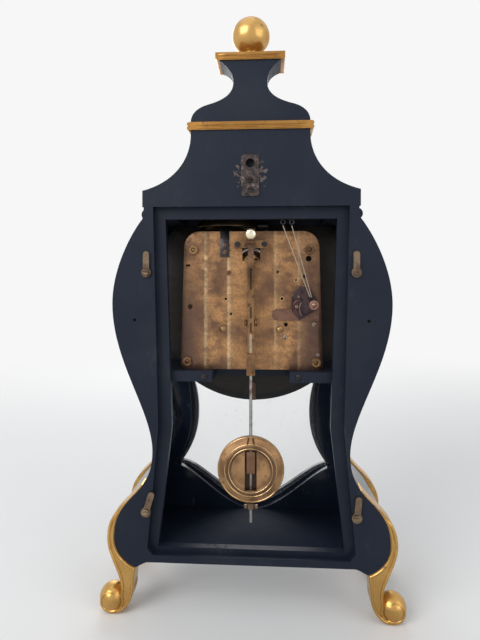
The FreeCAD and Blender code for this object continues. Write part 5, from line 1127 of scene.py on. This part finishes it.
def add_dial_figures():
    """Plain hour figures and a minute track on the enamel."""
    level = dial_face - FACE_GAP
    build = bmesh.new()
    for hour, figure in enumerate(FIGURES):
        angle = math.radians(360 / len(FIGURES) * hour)
        out = Vector((math.sin(angle), 0, math.cos(angle)))
        across = Vector((math.cos(angle), 0, -math.sin(angle)))
        left = -sum(FIGURE_WIDTHS[letter] for letter in figure) / 2
        for letter in figure:
            wide = FIGURE_WIDTHS[letter]
            for low, high, thick in STROKES[letter]:
                ends = []
                for share, rise in ((low, 0.0), (high, FIGURE_HEIGHT)):
                    spot = dial_middle + across * (left + wide * share)
                    spot = spot + out * (FIGURE_INNER + rise)
                    ends.append((spot.x, spot.z))
                stroke(build, *ends, thick, level)
            left += wide
    for minute in range(MINUTES):
        angle = math.radians(360 / MINUTES * minute)
        out = (math.sin(angle), math.cos(angle))
        ends = [(out[0] * radius, dial_middle.z + out[1] * radius) for radius in TRACK_RADII]
        at_hour = minute % (MINUTES // len(FIGURES)) == 0
        stroke(build, *ends, THICK_STROKE if at_hour else THIN_STROKE, level)
    for radius in TRACK_RADII:
        inner = radius - THIN_STROKE / 2
        outer = radius + THIN_STROKE / 2
        profile = [(inner, -THIN), (inner, THIN), (outer, THIN), (outer, -THIN), (inner, -THIN)]
        lathe(build, profile, Vector((0, level, dial_middle.z)), TRACK_STEPS)
    new_piece("dial_figures", build, INK_AND_SLOT_SHADE)


add_knob()
add_plate_marks()
add_strip_screws()
add_rod_slots()
add_lever_details()
add_bob_ridges()
add_bob_clip()
add_screw_collar()
add_beads()
add_peg_holes()
add_leg_ridges()
add_scrolls()
add_dial_figures()


# Room, light and camera

FLOOR_HALF = 8.0
FLOOR_DROP = 0.0002
# The distances from the clock between which the floor fades to the background, and its brightness
FADE_START = 0.55
FADE_END = 1.7
BACKGROUND = 0.93
# The soft light from all round
SKY = (0.80, 0.82, 0.85)
SKY_STRENGTH = 0.55
# Studio lights: name, place, height of the point faced on the clock's axis, width, height, watts
LIGHTS = (
    ("window_light", (1.1, 1.3, 1.3), 0.30, 1.2, 1.2, 20.0),
    ("fill_light", (-1.3, 1.0, 0.8), 0.25, 1.2, 1.2, 6.0),
    ("top_light", (0.1, 0.1, 1.8), 0.3, 1.4, 1.4, 2.5),
    ("front_light", (0.3, -1.6, 1.0), 0.3, 1.4, 1.2, 14.0),
)
# The camera at the photograph's viewing angle: sensor and lens in millimetres, the shift as a share
# of the frame, its place, and its tilt and heading
SENSOR = 36.0
LENS = 28.1
SHIFT = -0.078
CAMERA_SPOT = (-0.0195, 0.561, 0.350)
CAMERA_TILT = 90
CAMERA_HEADING = 183.4


@finish
def pale_floor(look):
    """A pale floor that fades to the white of the background."""
    far = look.level(look.distance((0.0, 0.0, 0.0)), FADE_START, FADE_END)
    near = look.tint(look.noise(3, 2), *FLOOR_TONES)
    look.paint(look.tint(far, near, BLACK), 0.9, specular=0.0)
    look.fill(look.surface, {"Emission Color": colour(WHITE),
                             "Emission Strength": look.times(far, BACKGROUND)})


def add_floor():
    """A flat floor just under the feet."""
    signs = ((-1, -1), (1, -1), (1, 1), (-1, 1))
    corners = [(x * FLOOR_HALF, y * FLOOR_HALF, 0) for x, y in signs]
    mesh = bpy.data.meshes.new("floor")
    mesh.from_pydata(corners, [], [(0, 1, 2, 3)])
    mesh.materials.append(pale_floor("pale_floor"))
    floor = add_item("floor", mesh)
    floor.location.z = -FLOOR_DROP


def add_light(name, spot, aim_height, wide, high, power):
    """A soft rectangular light that faces a point on the clock's axis."""
    light = bpy.data.lights.new(name, "AREA")
    light.shape = "RECTANGLE"
    light.size = wide
    light.size_y = high
    light.energy = power
    item = add_item(name, light)
    item.location = spot
    aim = Vector((0.0, 0.0, aim_height)) - Vector(spot)
    item.rotation_euler = aim.to_track_quat("-Z", "Y").to_euler()


def add_world():
    """A soft sky that lights the clock, and a white background that is seen and mirrored."""
    world = bpy.data.worlds.new("studio")
    world.use_nodes = True
    tree = world.node_tree
    sky = tree.nodes["Background"]
    sky.inputs["Color"].default_value = colour(SKY)
    sky.inputs["Strength"].default_value = SKY_STRENGTH
    white = tree.nodes.new("ShaderNodeBackground")
    white.inputs["Color"].default_value = colour((BACKGROUND,) * 3)
    path = tree.nodes.new("ShaderNodeLightPath")
    pick = tree.nodes.new("ShaderNodeMixShader")
    seen = path.outputs["Is Camera Ray"]
    for ray in ("Is Glossy Ray", "Is Transmission Ray"):
        either = tree.nodes.new("ShaderNodeMath")
        either.operation = "MAXIMUM"
        tree.links.new(seen, either.inputs[0])
        tree.links.new(path.outputs[ray], either.inputs[1])
        seen = either.outputs["Value"]
    tree.links.new(seen, pick.inputs["Fac"])
    tree.links.new(sky.outputs["Background"], pick.inputs[1])
    tree.links.new(white.outputs["Background"], pick.inputs[2])
    tree.links.new(pick.outputs["Shader"], tree.nodes["World Output"].inputs["Surface"])
    bpy.context.scene.world = world


def add_camera():
    """The camera that sees the clock as the photograph does."""
    lens = bpy.data.cameras.new("photo_camera")
    lens.sensor_width = SENSOR
    lens.lens = LENS
    lens.shift_y = SHIFT
    camera = add_item("photo_camera", lens)
    camera.location = CAMERA_SPOT
    camera.rotation_euler = (math.radians(CAMERA_TILT), 0.0, math.radians(CAMERA_HEADING))
    bpy.context.scene.camera = camera


add_floor()
for light in LIGHTS:
    add_light(*light)
add_world()
add_camera()
bpy.context.scene.view_settings.view_transform = "Standard"
